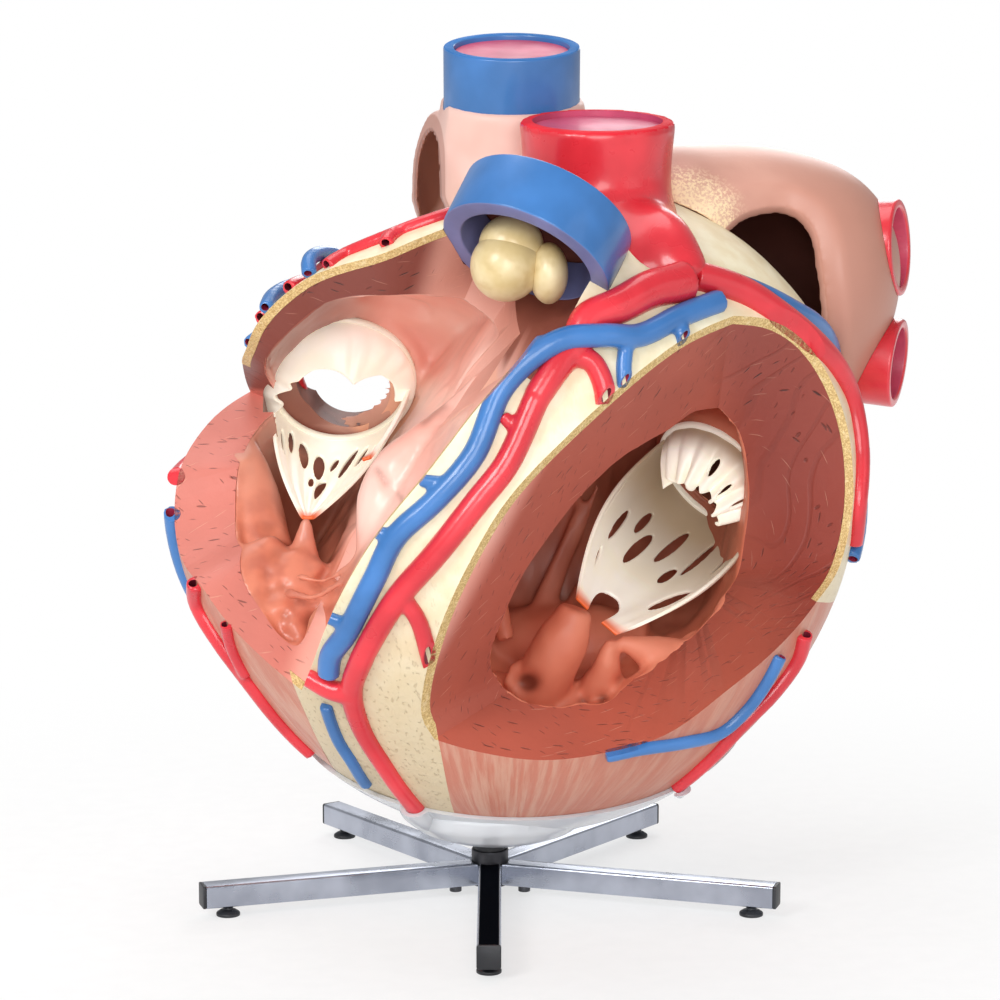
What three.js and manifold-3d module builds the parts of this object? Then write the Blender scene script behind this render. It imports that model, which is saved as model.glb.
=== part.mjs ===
// A giant human heart teaching model. Both ventricles and both atria are opened to show the valves.
// The heart stands in a clear cup on a post that turns in a five-legged stand.
// Millimetres, +Z up. Whoever looks into the open chambers stands on the -Y side.

import * as THREE from "three";
import { mergeVertices } from "three/addons/utils/BufferGeometryUtils.js";
import Module from "manifold-3d";

const wasm = await Module();
wasm.setup();

// Fits
const GAP = 0.35; // between pieces that touch
const SLIDING_GAP = 0.3; // round a piece that turns or slides
const CUT_REACH = 1600; // how far a cutting block reaches, past everything

// Everything below is placed from the stand's axis at floor level. The model is moved at the end
// so that the middle of its footprint is at zero.
const AXIS_X = -74.9;
const AXIS_Y = -17.9;

// Stand
const LEG_COUNT = 5;
const LEG_START = 26.2; // from the axis to where a leg's tube starts, clear of its neighbours
const LEG_RADIUS = 388; // from the axis to the end of a leg's tube
const LEG_TUBE = 30; // outside width and height of the square tube
const LEG_WALL = 2;
const LEG_CORNER = 3;
const LEG_UNDERSIDE = 14; // height of the tube's underside over the floor
const CAP_THICKNESS = 4;
const FOOT_INSET = 31; // from the end of a leg's tube back to its foot's screw
const FOOT_RADIUS = LEG_RADIUS - FOOT_INSET; // from the axis to a foot's screw
const CAP_PLUG_LENGTH = FOOT_INSET + 15; // the plug reaches past the screw, which holds it
const FOOT_DISC_RADIUS = 15.5;
const FOOT_DISC_HEIGHT = 8;
const FOOT_SCREW_RADIUS = 4;
const FOOT_SCREW_TOP = 34;
const HUB_RADIUS = 24.5;
const HUB_TOP = 60;
const HUB_BOTTOM = 12;
const HUB_FLOOR = 5;
const SPIGOT_END = 80; // how far from the axis a hub spigot reaches into its leg
const BOLT_DISTANCE = 48; // from the axis to a leg bolt
const BOLT_HEAD_RADIUS = 8;
const BOLT_HEAD_HEIGHT = 8;
const BOLT_SHANK_RADIUS = 5;
const BOLT_SHANK_LENGTH = 18;
const BOLT_SOCKET_RADIUS = 4.6;
const BOLT_SOCKET_DEPTH = 4;
const POST_RADIUS = 21;
const POST_SHOULDER = 72; // height of the post's shoulder, which carries the cup
const PEG_RADIUS = 14;
const PEG_TOP = 190;
const POST_SIDES = 20;

// Clear cup
const CUP_WALL = 4.5;
const CUP_BOTTOM = POST_SHOULDER + GAP;
const CUP_BOSS_RADIUS = 40;
const CUP_BOSS_SHIFT = 8; // the thick bottom is this far to the right of the axis
const CUP_SIDE_HEIGHT = 205; // height of the rim beside the axis
const CUP_BACK_HEIGHT = 232;
const CUP_FRONT_SLOPE = 0.5; // the rim falls this much for each millimetre towards the front

// Ventricles: lobes that flow into each other, with cut-outs seen from a point inside
const HEART_CENTRE = [30, 0, 500];
const MUSCLE_SOFTNESS = 34;
const SKIN_DETAIL = 5; // facets along each edge of the icosahedron that the skin is drawn from
const MUSCLE_LOBES = [
  { at: [115, 20, 558], radii: [368, 320, 380] }, // left
  { at: [-51, -10, 518], radii: [358, 300, 288] }, // right
  { at: [32, -10, 419], radii: [352, 250, 321] }, // apex
  { at: [0, -150, 745], radii: [165, 140, 150] }, // outflow
  { at: [-138, -135, 668], radii: [176, 134, 172] }, // crest of the right ventricle
];
const FAT_THICKNESS = 12;
const FAT_EDGE_POINT = [30, 330, 560]; // on the plane under the fat of the base
const FAT_EDGE_NORMAL = [0.365, 0.016, 0.931];

const LEFT_CHAMBER_LOBES = [
  { at: [235, 30, 550], radii: [105, 185, 215] },
  { at: [165, -110, 530], radii: [100, 120, 120] },
  { at: [80, -60, 430], radii: [150, 175, 175] },
];
const RIGHT_CHAMBER_LOBES = [
  { at: [-116, -60, 573], radii: [217, 270, 250] },
  { at: [-109, -104, 430], radii: [160, 100, 113] },
];
const CHAMBER_SOFTNESS = 30;
const CHAMBER_DETAIL = 4;
const SEPTUM = 55; // least wall between the two chambers

// Outlines are [longitude, latitude] in degrees on the skin, seen from HEART_CENTRE.
// Longitude 0 faces -Y and grows towards +X.
const RIGHT_WINDOW_EYE = [-118, 20, 593];
const RIGHT_WINDOW = [
  [-109.5, 23], [-100.5, 28], [-84, 33.5], [-72, 38], [-66, 42.5], [-62, 47.5], [-52.5, 51.5], [-39, 55.5],
  [-24, 62], [-5.5, 68], [14.5, 62], [15, 51], [2.5, 39.5], [-9, 29], [-18.5, 17], [-28, 4.5], [-37.5, -10],
  [-47.5, -23.5], [-54, -29.5], [-61, -21], [-67, -13.5], [-71, -8.5], [-79.5, -5], [-86, 2], [-89, 8.5],
  [-92, 11], [-96, 14], [-101, 18],
];
const LEFT_WINDOW_EYE = [268, 60, 417];
const LEFT_WINDOW = [
  [56.5, 41], [67, 37.5], [74.5, 31], [79.5, 16.5], [78, -5], [71, -11.5], [60, -23], [53.5, -29.5],
  [43, -40.5], [27.5, -46.5], [9, -49.5], [-10, -47.5], [-23, -43.5], [-24.5, -37], [-16.5, -15.5],
  [-7, 4], [0, 14.5], [18.5, 30], [40.5, 39.5],
];

// Atria and great vessels
const RIGHT_ATRIUM = {
  centre: [-40, 200, 760],
  lobes: [
    { at: [-50, 205, 745], radii: [200, 165, 250] },
    { at: [26, 160, 930], radii: [112, 105, 108] },
    { at: [-28, 240, 925], radii: [122, 112, 106] },
  ],
  softness: 26,
};
const LEFT_ATRIUM = {
  centre: [336, 180, 780],
  lobes: [
    { at: [336, 180, 780], radii: [203, 190, 206] },
    { at: [235, 110, 860], radii: [110, 110, 120] },
    { at: [445, 165, 835], radii: [95, 120, 110] },
  ],
  softness: 26,
};
const ATRIUM_DETAIL = 5;
const ATRIUM_WALL = 20;

const material = (color, roughness, metalness = 0) => ({ color, roughness, metalness });
const PAINT = {
  muscle: material(0x9a4a3c, 0.5),
  fat: material(0xecd9a8, 0.5),
  artery: material(0xd8262f, 0.25),
  vein: material(0x2f6db5, 0.25),
  atrium: material(0xe3b3a6, 0.5),
  disc: material(0xd0709a, 0.5),
  cusp: material(0xc8b078, 0.45),
  valve: material(0xf1ead0, 0.4),
  chrome: material(0xc9ccd4, 0.15, 1),
  black: material(0x17181c, 0.45),
  steel: material(0x8e9196, 0.35, 1),
  clear: material(0xdfe6ea, 0.08),
};

// Solids and meshes
const vec = (p) => new THREE.Vector3(...p);

function solid(geometry) {
  const bare = geometry.clone();
  for (const name of Object.keys(bare.attributes)) {
    if (name !== "position") bare.deleteAttribute(name);
  }
  const merged = mergeVertices(bare, 1e-4);
  return new wasm.Manifold(
    new wasm.Mesh({
      numProp: 3,
      vertProperties: new Float32Array(merged.attributes.position.array),
      triVerts: new Uint32Array(merged.index.array),
    }),
  );
}

function geometryOf(manifold) {
  const mesh = manifold.getMesh();
  const stride = mesh.numProp;
  const positions = new Float32Array(mesh.numVert * 3);
  for (let i = 0; i < mesh.numVert; i++) {
    positions.set(mesh.vertProperties.subarray(i * stride, i * stride + 3), i * 3);
  }
  const geometry = new THREE.BufferGeometry();
  geometry.setAttribute("position", new THREE.BufferAttribute(positions, 3));
  geometry.setIndex(new THREE.BufferAttribute(mesh.triVerts, 1));
  const flat = geometry.toNonIndexed();
  flat.computeVertexNormals();
  return flat;
}

const join = (...solids) => solids.reduce((a, b) => a.add(b));
const cut = (body, ...tools) => tools.reduce((a, b) => a.subtract(b), body);

// The biggest of the separate bodies in a solid, so that no crumb is left by a cut
function biggest(body) {
  const parts = body.decompose();
  return parts.reduce((a, b) => (b.volume() > a.volume() ? b : a));
}

// A solid of the half of space that the normal points into, moved along it by shift
function halfSpace(point, normal, shift = 0) {
  const box = new THREE.BoxGeometry(2 * CUT_REACH, 2 * CUT_REACH, CUT_REACH);
  box.translate(0, 0, CUT_REACH / 2 + shift);
  box.applyQuaternion(turnTo(normal));
  box.translate(...point);
  return solid(box);
}

const turnTo = (axis) =>
  new THREE.Quaternion().setFromUnitVectors(new THREE.Vector3(0, 0, 1), vec(axis).normalize());

// A solid turned from a profile of [radius, height], with its axis at point along axis
function turned(profile, sides, point = [0, 0, 0], axis = [0, 0, 1]) {
  const geometry = new THREE.LatheGeometry(profile.map(([r, h]) => new THREE.Vector2(r, h)), sides);
  geometry.rotateX(Math.PI / 2);
  geometry.applyQuaternion(turnTo(axis));
  geometry.translate(...point);
  return solid(geometry);
}

const rod = (radius, from, to, sides, point, axis) =>
  turned([[0, from], [radius, from], [radius, to], [0, to]], sides, point, axis);

// Distance from a point to a surface that blends ellipsoids, in millimetres, negative inside
function blendDistance(p, lobes, softness) {
  let sum = 0;
  for (const { at, radii } of lobes) {
    const dx = p.x - at[0];
    const dy = p.y - at[1];
    const dz = p.z - at[2];
    const k0 = Math.hypot(dx / radii[0], dy / radii[1], dz / radii[2]);
    const k1 = Math.hypot(dx / radii[0] ** 2, dy / radii[1] ** 2, dz / radii[2] ** 2);
    const distance = k1 > 1e-9 ? (k0 * (k0 - 1)) / k1 : -Math.min(...radii);
    sum += Math.exp(-distance / softness);
  }
  return -softness * Math.log(sum);
}

// How far that surface is from the form's centre in a direction, grown outwards by grow
function reachAlong(direction, { centre, lobes, softness }, grow = 0) {
  const origin = vec(centre);
  const probe = new THREE.Vector3();
  let near = 0;
  let far = CUT_REACH / 2;
  for (let i = 0; i < 36; i++) {
    const middle = (near + far) / 2;
    probe.copy(origin).addScaledVector(direction, middle);
    if (blendDistance(probe, lobes, softness) < 0) near = middle;
    else far = middle;
  }
  return near + grow;
}

// A closed solid of that form, drawn from an icosahedron whose edges are split detail times
function blendSolid(form, detail, grow = 0) {
  const geometry = new THREE.IcosahedronGeometry(1, Math.round(detail) - 1);
  const position = geometry.attributes.position;
  const direction = new THREE.Vector3();
  for (let i = 0; i < position.count; i++) {
    direction.fromBufferAttribute(position, i).normalize();
    const reach = reachAlong(direction, form, grow);
    position.setXYZ(
      i,
      form.centre[0] + direction.x * reach,
      form.centre[1] + direction.y * reach,
      form.centre[2] + direction.z * reach,
    );
  }
  return solid(geometry);
}

const HEART = { centre: HEART_CENTRE, lobes: MUSCLE_LOBES, softness: MUSCLE_SOFTNESS };

function bearing([longitude, latitude]) {
  const a = THREE.MathUtils.degToRad(longitude);
  const b = THREE.MathUtils.degToRad(latitude);
  return new THREE.Vector3(Math.sin(a) * Math.cos(b), -Math.cos(a) * Math.cos(b), Math.sin(b));
}

// The point of the skin at a longitude and latitude, raised by height
function onSkin(place, height = 0) {
  const direction = bearing(place);
  return vec(HEART_CENTRE).addScaledVector(direction, reachAlong(direction, HEART) + height);
}

// The window cut from an eye inside the heart through an outline on the skin
function windowCut(eye, outline) {
  const origin = vec(eye);
  const ring = outline.map((place) => onSkin(place).sub(origin).multiplyScalar(1.9).add(origin));
  const crown = ring.reduce((sum, p) => sum.add(p), new THREE.Vector3()).divideScalar(ring.length);
  crown.sub(origin).multiplyScalar(1.3).add(origin);
  const positions = [];
  ring.forEach((point, i) => {
    const next = ring[(i + 1) % ring.length];
    positions.push(...origin, ...next, ...point, ...crown, ...point, ...next);
  });
  const geometry = new THREE.BufferGeometry();
  geometry.setAttribute("position", new THREE.Float32BufferAttribute(positions, 3));
  const made = solid(geometry);
  return made.volume() > 0 ? made : solid(flipped(geometry));
}

function flipped(geometry) {
  const position = geometry.attributes.position;
  const turnedOver = new Float32Array(position.array);
  for (let i = 0; i < position.count; i += 3) {
    for (let k = 0; k < 3; k++) {
      turnedOver[(i + 1) * 3 + k] = position.array[(i + 2) * 3 + k];
      turnedOver[(i + 2) * 3 + k] = position.array[(i + 1) * 3 + k];
    }
  }
  const made = new THREE.BufferGeometry();
  made.setAttribute("position", new THREE.BufferAttribute(turnedOver, 3));
  return made;
}

// A closed skin over rings of points that all have the same count
function loft(rings) {
  const positions = [];
  const count = rings[0].length;
  const middle = (ring) => ring.reduce((s, p) => s.add(p), new THREE.Vector3()).divideScalar(count);
  for (let i = 0; i + 1 < rings.length; i++) {
    for (let k = 0; k < count; k++) {
      const n = (k + 1) % count;
      const [a, b, c, d] = [rings[i][k], rings[i][n], rings[i + 1][n], rings[i + 1][k]];
      positions.push(...a, ...b, ...c, ...a, ...c, ...d);
    }
  }
  const [first, last] = [rings[0], rings[rings.length - 1]];
  const [start, end] = [middle(first), middle(last)];
  for (let k = 0; k < count; k++) {
    const n = (k + 1) % count;
    positions.push(...start, ...first[n], ...first[k], ...end, ...last[k], ...last[n]);
  }
  const geometry = new THREE.BufferGeometry();
  geometry.setAttribute("position", new THREE.Float32BufferAttribute(positions, 3));
  const made = solid(geometry);
  return made.volume() > 0 ? made : solid(flipped(geometry));
}

// A round tube along points, with its radius going from one end's to the other's
function tube(points, radii, sides, up = null) {
  const rings = points.map((point, i) => {
    const ahead = points[Math.min(i + 1, points.length - 1)];
    const behind = points[Math.max(i - 1, 0)];
    const along = ahead.clone().sub(behind).normalize();
    const lift = up ? up.clone() : point.clone().sub(vec(HEART_CENTRE));
    const side = along.clone().cross(lift).normalize();
    const out = side.clone().cross(along).normalize();
    const t = i / (points.length - 1);
    const radius = Array.isArray(radii) ? THREE.MathUtils.lerp(radii[0], radii[1], t) : radii;
    return Array.from({ length: sides }, (_, k) => {
      const angle = ((k + 0.5) / sides) * 2 * Math.PI;
      return point
        .clone()
        .addScaledVector(side, Math.cos(angle) * radius)
        .addScaledVector(out, Math.sin(angle) * radius);
    });
  });
  return loft(rings);
}

// Points along the skin through places of [longitude, latitude, extra height], one each step
const VESSEL_STEP = 60;
const VESSEL_RISE = 0.2; // how far a vessel's middle is over the skin, as a share of its radius
function route(places, radii, step = VESSEL_STEP) {
  const widest = Array.isArray(radii) ? Math.max(...radii) : radii;
  const knots = places.map(([a, b, extra = 0]) => onSkin([a, b], extra + widest * VESSEL_RISE));
  const curve = new THREE.CatmullRomCurve3(knots, false, "centripetal");
  const count = Math.max(2, Math.round(curve.getLength() / step));
  return curve.getSpacedPoints(count);
}
const VESSEL_SIDES = 6;
const vessel = (places, radii, grow = 0) =>
  Array.isArray(radii)
    ? tube(route(places, radii), radii.map((r) => r + grow), VESSEL_SIDES + 2)
    : tube(route(places, radii), radii + grow, VESSEL_SIDES);

// The open mouth of a vessel's last stretch
const MOUTH_DEPTH = 9;
const MOUTH_WALL = 4;
function mouth(places, radius) {
  const points = route(places, radius);
  const end = points[points.length - 1];
  const along = end.clone().sub(points[points.length - 2]).normalize();
  const bore = radius - MOUTH_WALL;
  return rod(bore, -MOUTH_DEPTH, 3, 6, [...end], [...along]);
}

const model = new THREE.Group();
function add(name, body, paint) {
  const mesh = new THREE.Mesh(geometryOf(body), new THREE.MeshStandardMaterial(paint));
  mesh.geometry.translate(AXIS_X, AXIS_Y, 0);
  mesh.name = name;
  model.add(mesh);
}

// Skin of the ventricles, with and without the gap that pieces resting on it keep
const skin = blendSolid(HEART, SKIN_DETAIL);
const skinWithGap = blendSolid(HEART, SKIN_DETAIL, GAP);
const underFat = blendSolid(HEART, SKIN_DETAIL, -FAT_THICKNESS);
const underFatWithGap = blendSolid(HEART, SKIN_DETAIL, GAP - FAT_THICKNESS);

// Where the fat lies: over the base, down the front groove and down the back groove
const FRONT_FAT = [
  [240, 905], [88, 850], [-45, 690], [-165, 530], [-255, 350], [-240, 300], [-228, 262], [-205, 190],
  [-185, 130], [-160, 60], [-30, 60], [-50, 165], [-61, 245], [-70, 300], [40, 470], [150, 640], [300, 800],
];
const BACK_FAT = [[-40, 700], [-40, 560], [25, 150], [95, 150], [70, 560], [70, 700]];
function spread(outline, by) {
  const corners = outline.map(([x, z]) => new THREE.Vector2(x, z));
  const clockwise = THREE.ShapeUtils.isClockWise(corners);
  return corners.map((corner, i) => {
    const before = corners[(i + corners.length - 1) % corners.length];
    const after = corners[(i + 1) % corners.length];
    const a = corner.clone().sub(before).normalize();
    const b = after.clone().sub(corner).normalize();
    const turn = clockwise ? -1 : 1;
    const out = new THREE.Vector2(a.y + b.y, -(a.x + b.x)).multiplyScalar(turn).normalize();
    const reach = by / Math.max(0.3, out.dot(new THREE.Vector2(a.y, -a.x).multiplyScalar(turn)));
    return corner.clone().addScaledVector(out, reach);
  });
}
function slab(outline, by, fromY, toY) {
  const shape = new THREE.Shape(spread(outline, by));
  const geometry = new THREE.ExtrudeGeometry(shape, { depth: toY - fromY, bevelEnabled: false });
  geometry.rotateX(Math.PI / 2);
  geometry.translate(0, toY, 0);
  return solid(geometry);
}
const fatRegion = (grow) =>
  join(
    halfSpace(FAT_EDGE_POINT, FAT_EDGE_NORMAL, -grow),
    slab(FRONT_FAT, grow, -600, -20),
    slab(BACK_FAT, grow, 20, 600),
  );

// Chambers
const leftChamber = (grow, detail = CHAMBER_DETAIL) =>
  blendSolid({ centre: [160, -20, 500], lobes: LEFT_CHAMBER_LOBES, softness: CHAMBER_SOFTNESS }, detail, grow);
const rightChamber = (grow) =>
  cut(
    blendSolid(
      { centre: [-130, -70, 540], lobes: RIGHT_CHAMBER_LOBES, softness: CHAMBER_SOFTNESS },
      CHAMBER_DETAIL,
      grow,
    ),
    halfSpace(RIGHT_WINDOW_EYE, [0.825, 0.119, -0.552], grow),
    leftChamber(SEPTUM - grow, 3),
  );

// Lung artery: a short wide ring that leans back, with its lower mouth open to the right ventricle
const TRUNK_MOUTH = [44, -218, 857];
const TRUNK_AXIS = [0.398, 0.49, 0.776];
const TRUNK_RADIUS = 110;
const TRUNK_WALL = 24;
const TRUNK_LENGTH = 74;
const TRUNK_SIDES = 22;
const trunkHole = rod(TRUNK_RADIUS + GAP, -GAP, 220, TRUNK_SIDES, TRUNK_MOUTH, TRUNK_AXIS);
const outflow = rod(TRUNK_RADIUS - TRUNK_WALL, -150, 6, TRUNK_SIDES, TRUNK_MOUTH, TRUNK_AXIS);

// Valves between atria and ventricles: a ring on a seat, facing its ventricle along axis
const TRICUSPID = { at: [-203, 150, 673], axis: [0.05, -0.88, -0.47], radius: 96, bore: 60 };
const MITRAL = { at: [308, 114, 548], axis: [-0.58, -0.62, -0.53], radius: 84, bore: 62 };
const VALVE_RING_WIDTH = 14;
const VALVE_RING_HEIGHT = 10;
const SEAT_MARGIN = 16;
const RECESS_MARGIN = 12; // round the right valve, which lies past the chamber's own wall
const RECESS_DEPTH = 70;
const VALVE_SHEET = 6;
const seatOf = ({ at, axis, radius }, grow) => rod(radius + SEAT_MARGIN, -170, grow, 22, at, axis);
const rightRecess = (grow) =>
  rod(TRICUSPID.radius + RECESS_MARGIN + grow, -1, RECESS_DEPTH + grow, 22, TRICUSPID.at, TRICUSPID.axis);
const boreOf = ({ at, axis, bore }) => rod(bore, -200, 8, 20, at, axis);
const valveSeats = (grow) => join(seatOf(TRICUSPID, grow), seatOf(MITRAL, grow));
const tricuspidBore = join(
  boreOf(TRICUSPID),
  turned([[0, 0], [62, 0], [48, 150], [48, 260], [0, 260]], 20, [-198, 115, 655], [0.104, 0.99, 0.067]),
);
const mitralBore = boreOf(MITRAL);
const aortaBore = rod(50, -10, 260, 20, [178, 40, 700], [-0.18, -0.22, 0.96]);

// Muscle, with the pillars that hold the valve strings
function pillar(places, [foot, tip], grow) {
  const points = places.map(vec);
  const end = points[points.length - 1];
  end.addScaledVector(end.clone().sub(points[points.length - 2]).normalize(), grow);
  return tube(points, [foot + grow, tip + grow], 8, new THREE.Vector3(0, -1, 0));
}
const leftPillars = (grow) =>
  join(
    pillar([[20, -60, 255], [70, -75, 330], [112, -72, 396]], [46, 16], grow),
    pillar([[80, -40, 245], [125, -60, 305], [152, -70, 358]], [44, 15], grow),
  );
const rightPillars = (grow) =>
  join(
    pillar([[-200, -30, 330], [-228, -50, 430], [-236, -60, 498]], [42, 13], grow),
    pillar([[-60, -60, 470], [-118, -50, 540], [-158, -25, 574]], [46, 14], grow),
  );
const rightWindow = windowCut(RIGHT_WINDOW_EYE, RIGHT_WINDOW);
const leftWindow = windowCut(LEFT_WINDOW_EYE, LEFT_WINDOW);
const pegHole = rod(PEG_RADIUS + SLIDING_GAP, 0, PEG_TOP + 1, POST_SIDES);
const bores = [tricuspidBore, mitralBore, aortaBore, outflow, trunkHole, pegHole];

const chambers = cut(
  join(cut(join(leftChamber(0), rightChamber(0), rightRecess(0)), valveSeats(0)), rightWindow, leftWindow),
  leftPillars(0),
  rightPillars(0),
);
// The room that the valves have, a gap inside the walls
const WINDOW_INSET = 2;
const rightRoom = cut(
  join(rightChamber(-GAP), rightRecess(-GAP), rightWindow.translate([0, -WINDOW_INSET, 0])).intersect(
    blendSolid(HEART, SKIN_DETAIL, -FAT_THICKNESS - WINDOW_INSET),
  ),
  valveSeats(GAP),
  rightPillars(GAP),
);
const leftRoom = cut(leftChamber(-GAP), valveSeats(GAP), leftPillars(GAP));
const heartWall = join(cut(skin, fatRegion(GAP)), underFat);
add("ventricle_muscle", biggest(cut(heartWall, chambers, ...bores)), PAINT.muscle);
const fat = biggest(cut(skin.intersect(fatRegion(0)), underFatWithGap, rightWindow, leftWindow, ...bores));
add("heart_fat", fat, PAINT.fat);

// Atria
const rightAtriumOuter = (grow) => blendSolid(RIGHT_ATRIUM, ATRIUM_DETAIL, grow);
const leftAtriumOuter = (grow) => blendSolid(LEFT_ATRIUM, ATRIUM_DETAIL, grow);
const rightAtriumWindow = join(
  cut(halfSpace([-59, 60, 960], [-0.916, -0.212, -0.339]), halfSpace([0, 0, 885], [0, 0, -1])),
  cut(halfSpace([-66, 60, 880], [-0.97, -0.2, 0.12]), halfSpace([0, 0, 570], [0, 0, -1])),
);
const rightAtrium = biggest(
  cut(rightAtriumOuter(0), rightAtriumOuter(-ATRIUM_WALL), rightAtriumWindow, skinWithGap),
);
add("right_atrium", rightAtrium, PAINT.atrium);

const LEFT_ATRIUM_EYE = [372, 190, 800];
const LEFT_ATRIUM_WINDOW = [
  [293, -4, 875], [332, 21, 913], [392, 42, 922], [425, 35, 900], [443, 14, 829], [453, 27, 730],
  [440, 65, 650], [329, 27, 650], [272, -4, 752],
];
function eyeCut(eye, outline) {
  const origin = vec(eye);
  const far = outline.map((p) => vec(p).sub(origin).multiplyScalar(3).add(origin));
  const near = outline.map((p) => vec(p).sub(origin).multiplyScalar(0.02).add(origin));
  return loft([near, far]);
}
const leftAtrium = biggest(
  cut(
    leftAtriumOuter(0),
    leftAtriumOuter(-ATRIUM_WALL),
    eyeCut(LEFT_ATRIUM_EYE, LEFT_ATRIUM_WINDOW),
    skinWithGap,
    rightAtriumOuter(GAP),
  ),
);
add("left_atrium", leftAtrium, PAINT.atrium);

// Aorta, upper great vein and lung artery, each closed near its top by a sunk disc.
// Nothing opens or shows the first two's insides, so they stay solid under their discs.
const DISC_THICKNESS = 8;
const DISC_SUNK = 7;
const GREAT_SIDES = 22;
function topDisc(radius, top, point, axis) {
  return {
    seat: rod(radius, top - DISC_SUNK - DISC_THICKNESS - GAP, top + 5, GREAT_SIDES, point, axis),
    disc: rod(radius - GAP, top - DISC_SUNK - DISC_THICKNESS, top - DISC_SUNK, GREAT_SIDES, point, axis),
  };
}

const TRUNK_SEAT = topDisc(TRUNK_RADIUS - 14, TRUNK_LENGTH, TRUNK_MOUTH, TRUNK_AXIS);
const trunkOuter = (grow) =>
  rod(TRUNK_RADIUS + grow, -grow, TRUNK_LENGTH + grow, TRUNK_SIDES, TRUNK_MOUTH, TRUNK_AXIS);
const trunkBore = rod(TRUNK_RADIUS - TRUNK_WALL, -5, TRUNK_LENGTH + 5, TRUNK_SIDES, TRUNK_MOUTH, TRUNK_AXIS);
add("lung_artery", cut(trunkOuter(0), trunkBore, TRUNK_SEAT.seat), PAINT.vein);
add("lung_artery_disc", TRUNK_SEAT.disc, PAINT.disc);

const VENA_RISE = 90;
const VENA_BASE = [29, 152, RIGHT_ATRIUM.lobes[1].at[2] + VENA_RISE];
const VENA_AXIS = [0, -0.22, 0.975];
const VENA_RADIUS = 91;
const VENA_LENGTH = 102;
const VENA_SEAT = topDisc(VENA_RADIUS - 7, VENA_LENGTH, VENA_BASE, VENA_AXIS);
const venaTube = turned(
  [[0, -60], [VENA_RADIUS + 6, -60], [VENA_RADIUS, 30], [VENA_RADIUS, VENA_LENGTH], [0, VENA_LENGTH]],
  GREAT_SIDES, VENA_BASE, VENA_AXIS,
);
const vena = biggest(cut(venaTube, VENA_SEAT.seat, rightAtriumOuter(GAP)));
add("upper_great_vein", vena, PAINT.vein);
add("upper_great_vein_disc", VENA_SEAT.disc, PAINT.disc);

const AORTA_BASE = [138, -8, 900];
const AORTA_AXIS = [0, -0.15, 0.988];
const AORTA_LENGTH = 124;
const AORTA_RADIUS = 100;
const AORTA_SEAT = topDisc(AORTA_RADIUS - 8, AORTA_LENGTH, AORTA_BASE, AORTA_AXIS);
const AORTA_ROOT = {
  centre: [175, -60, 860],
  lobes: [
    { at: [140, -20, 870], radii: [122, 118, 92] },
    { at: [208, -118, 846], radii: [62, 84, 66] },
  ],
  softness: 24,
};
const aortaOuter = (grow) =>
  join(
    turned(
      [
        [0, -60], [AORTA_RADIUS + 12 + grow, -60], [AORTA_RADIUS - 4 + grow, 40],
        [AORTA_RADIUS - 3 + grow, 80], [AORTA_RADIUS + grow, AORTA_LENGTH + grow], [0, AORTA_LENGTH + grow],
      ],
      GREAT_SIDES, AORTA_BASE, AORTA_AXIS,
    ),
    blendSolid(AORTA_ROOT, 4, grow),
  );
const aortaBody = biggest(
  cut(
    aortaOuter(0),
    AORTA_SEAT.seat,
    skinWithGap,
    trunkOuter(GAP),
    rightAtriumOuter(GAP),
    leftAtriumOuter(GAP),
  ),
);
add("aorta", aortaBody, PAINT.artery);
add("aorta_disc", AORTA_SEAT.disc, PAINT.disc);

// Cups of the lung artery's valve
const CUSP_RADIUS = 45;
const CUSP_WALL = 4;
const CUSP_RIM = 22; // how far a cup's rim is over its middle
const CUSP_OUT = 42; // from the artery's axis to a cup's middle
const CUSP_HANG = 10; // how far a cup's middle is under the artery's mouth
function frameOf(axis) {
  const n = vec(axis).normalize();
  const right = new THREE.Vector3(0, 0, 1).cross(n).normalize();
  const up = n.clone().cross(right);
  const at = (degrees) => {
    const a = THREE.MathUtils.degToRad(degrees);
    return right.clone().multiplyScalar(Math.cos(a)).addScaledVector(up, Math.sin(a));
  };
  return { n, right, up, at };
}
const trunkFrame = frameOf(TRUNK_AXIS.map((c) => -c));
[93, 213, 333].forEach((degrees, i) => {
  const out = trunkFrame.at(degrees);
  const middle = vec(TRUNK_MOUTH).addScaledVector(out, CUSP_OUT).addScaledVector(trunkFrame.n, CUSP_HANG);
  const ball = (radius) => {
    const sphere = new THREE.IcosahedronGeometry(radius, 1);
    sphere.translate(...middle);
    return solid(sphere);
  };
  const side = (turn) =>
    halfSpace(TRUNK_MOUTH, [...trunkFrame.at(degrees + turn)], GAP / 2);
  const cup = cut(ball(CUSP_RADIUS), ball(CUSP_RADIUS - CUSP_WALL))
    .intersect(halfSpace([...middle], [...trunkFrame.n], -CUSP_RIM))
    .intersect(rod(TRUNK_RADIUS - TRUNK_WALL - GAP, -120, 120, TRUNK_SIDES, TRUNK_MOUTH, TRUNK_AXIS))
    .intersect(side(30))
    .intersect(side(-30));
  add(`lung_artery_cusp_${i + 1}`, biggest(cup), PAINT.cusp);
});

// A thin sheet over pointAt(s, t), both from 0 to 1, half its thickness to each side
function sheet(pointAt, columns, rows, thickness) {
  const normalAt = (s, t) => {
    const e = 0.02;
    const across = pointAt(Math.min(1, s + e), t).sub(pointAt(Math.max(0, s - e), t));
    const along = pointAt(s, Math.min(1, t + e)).sub(pointAt(s, Math.max(0, t - e)));
    return across.cross(along).normalize();
  };
  const rings = [];
  for (let j = 0; j <= rows; j++) {
    const front = [];
    const back = [];
    for (let i = 0; i <= columns; i++) {
      const [s, t] = [i / columns, j / rows];
      const [p, n] = [pointAt(s, t), normalAt(s, t)];
      front.push(p.clone().addScaledVector(n, thickness / 2));
      back.unshift(p.clone().addScaledVector(n, -thickness / 2));
    }
    rings.push([...front, ...back]);
  }
  return stitched(rings, columns);
}

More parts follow.
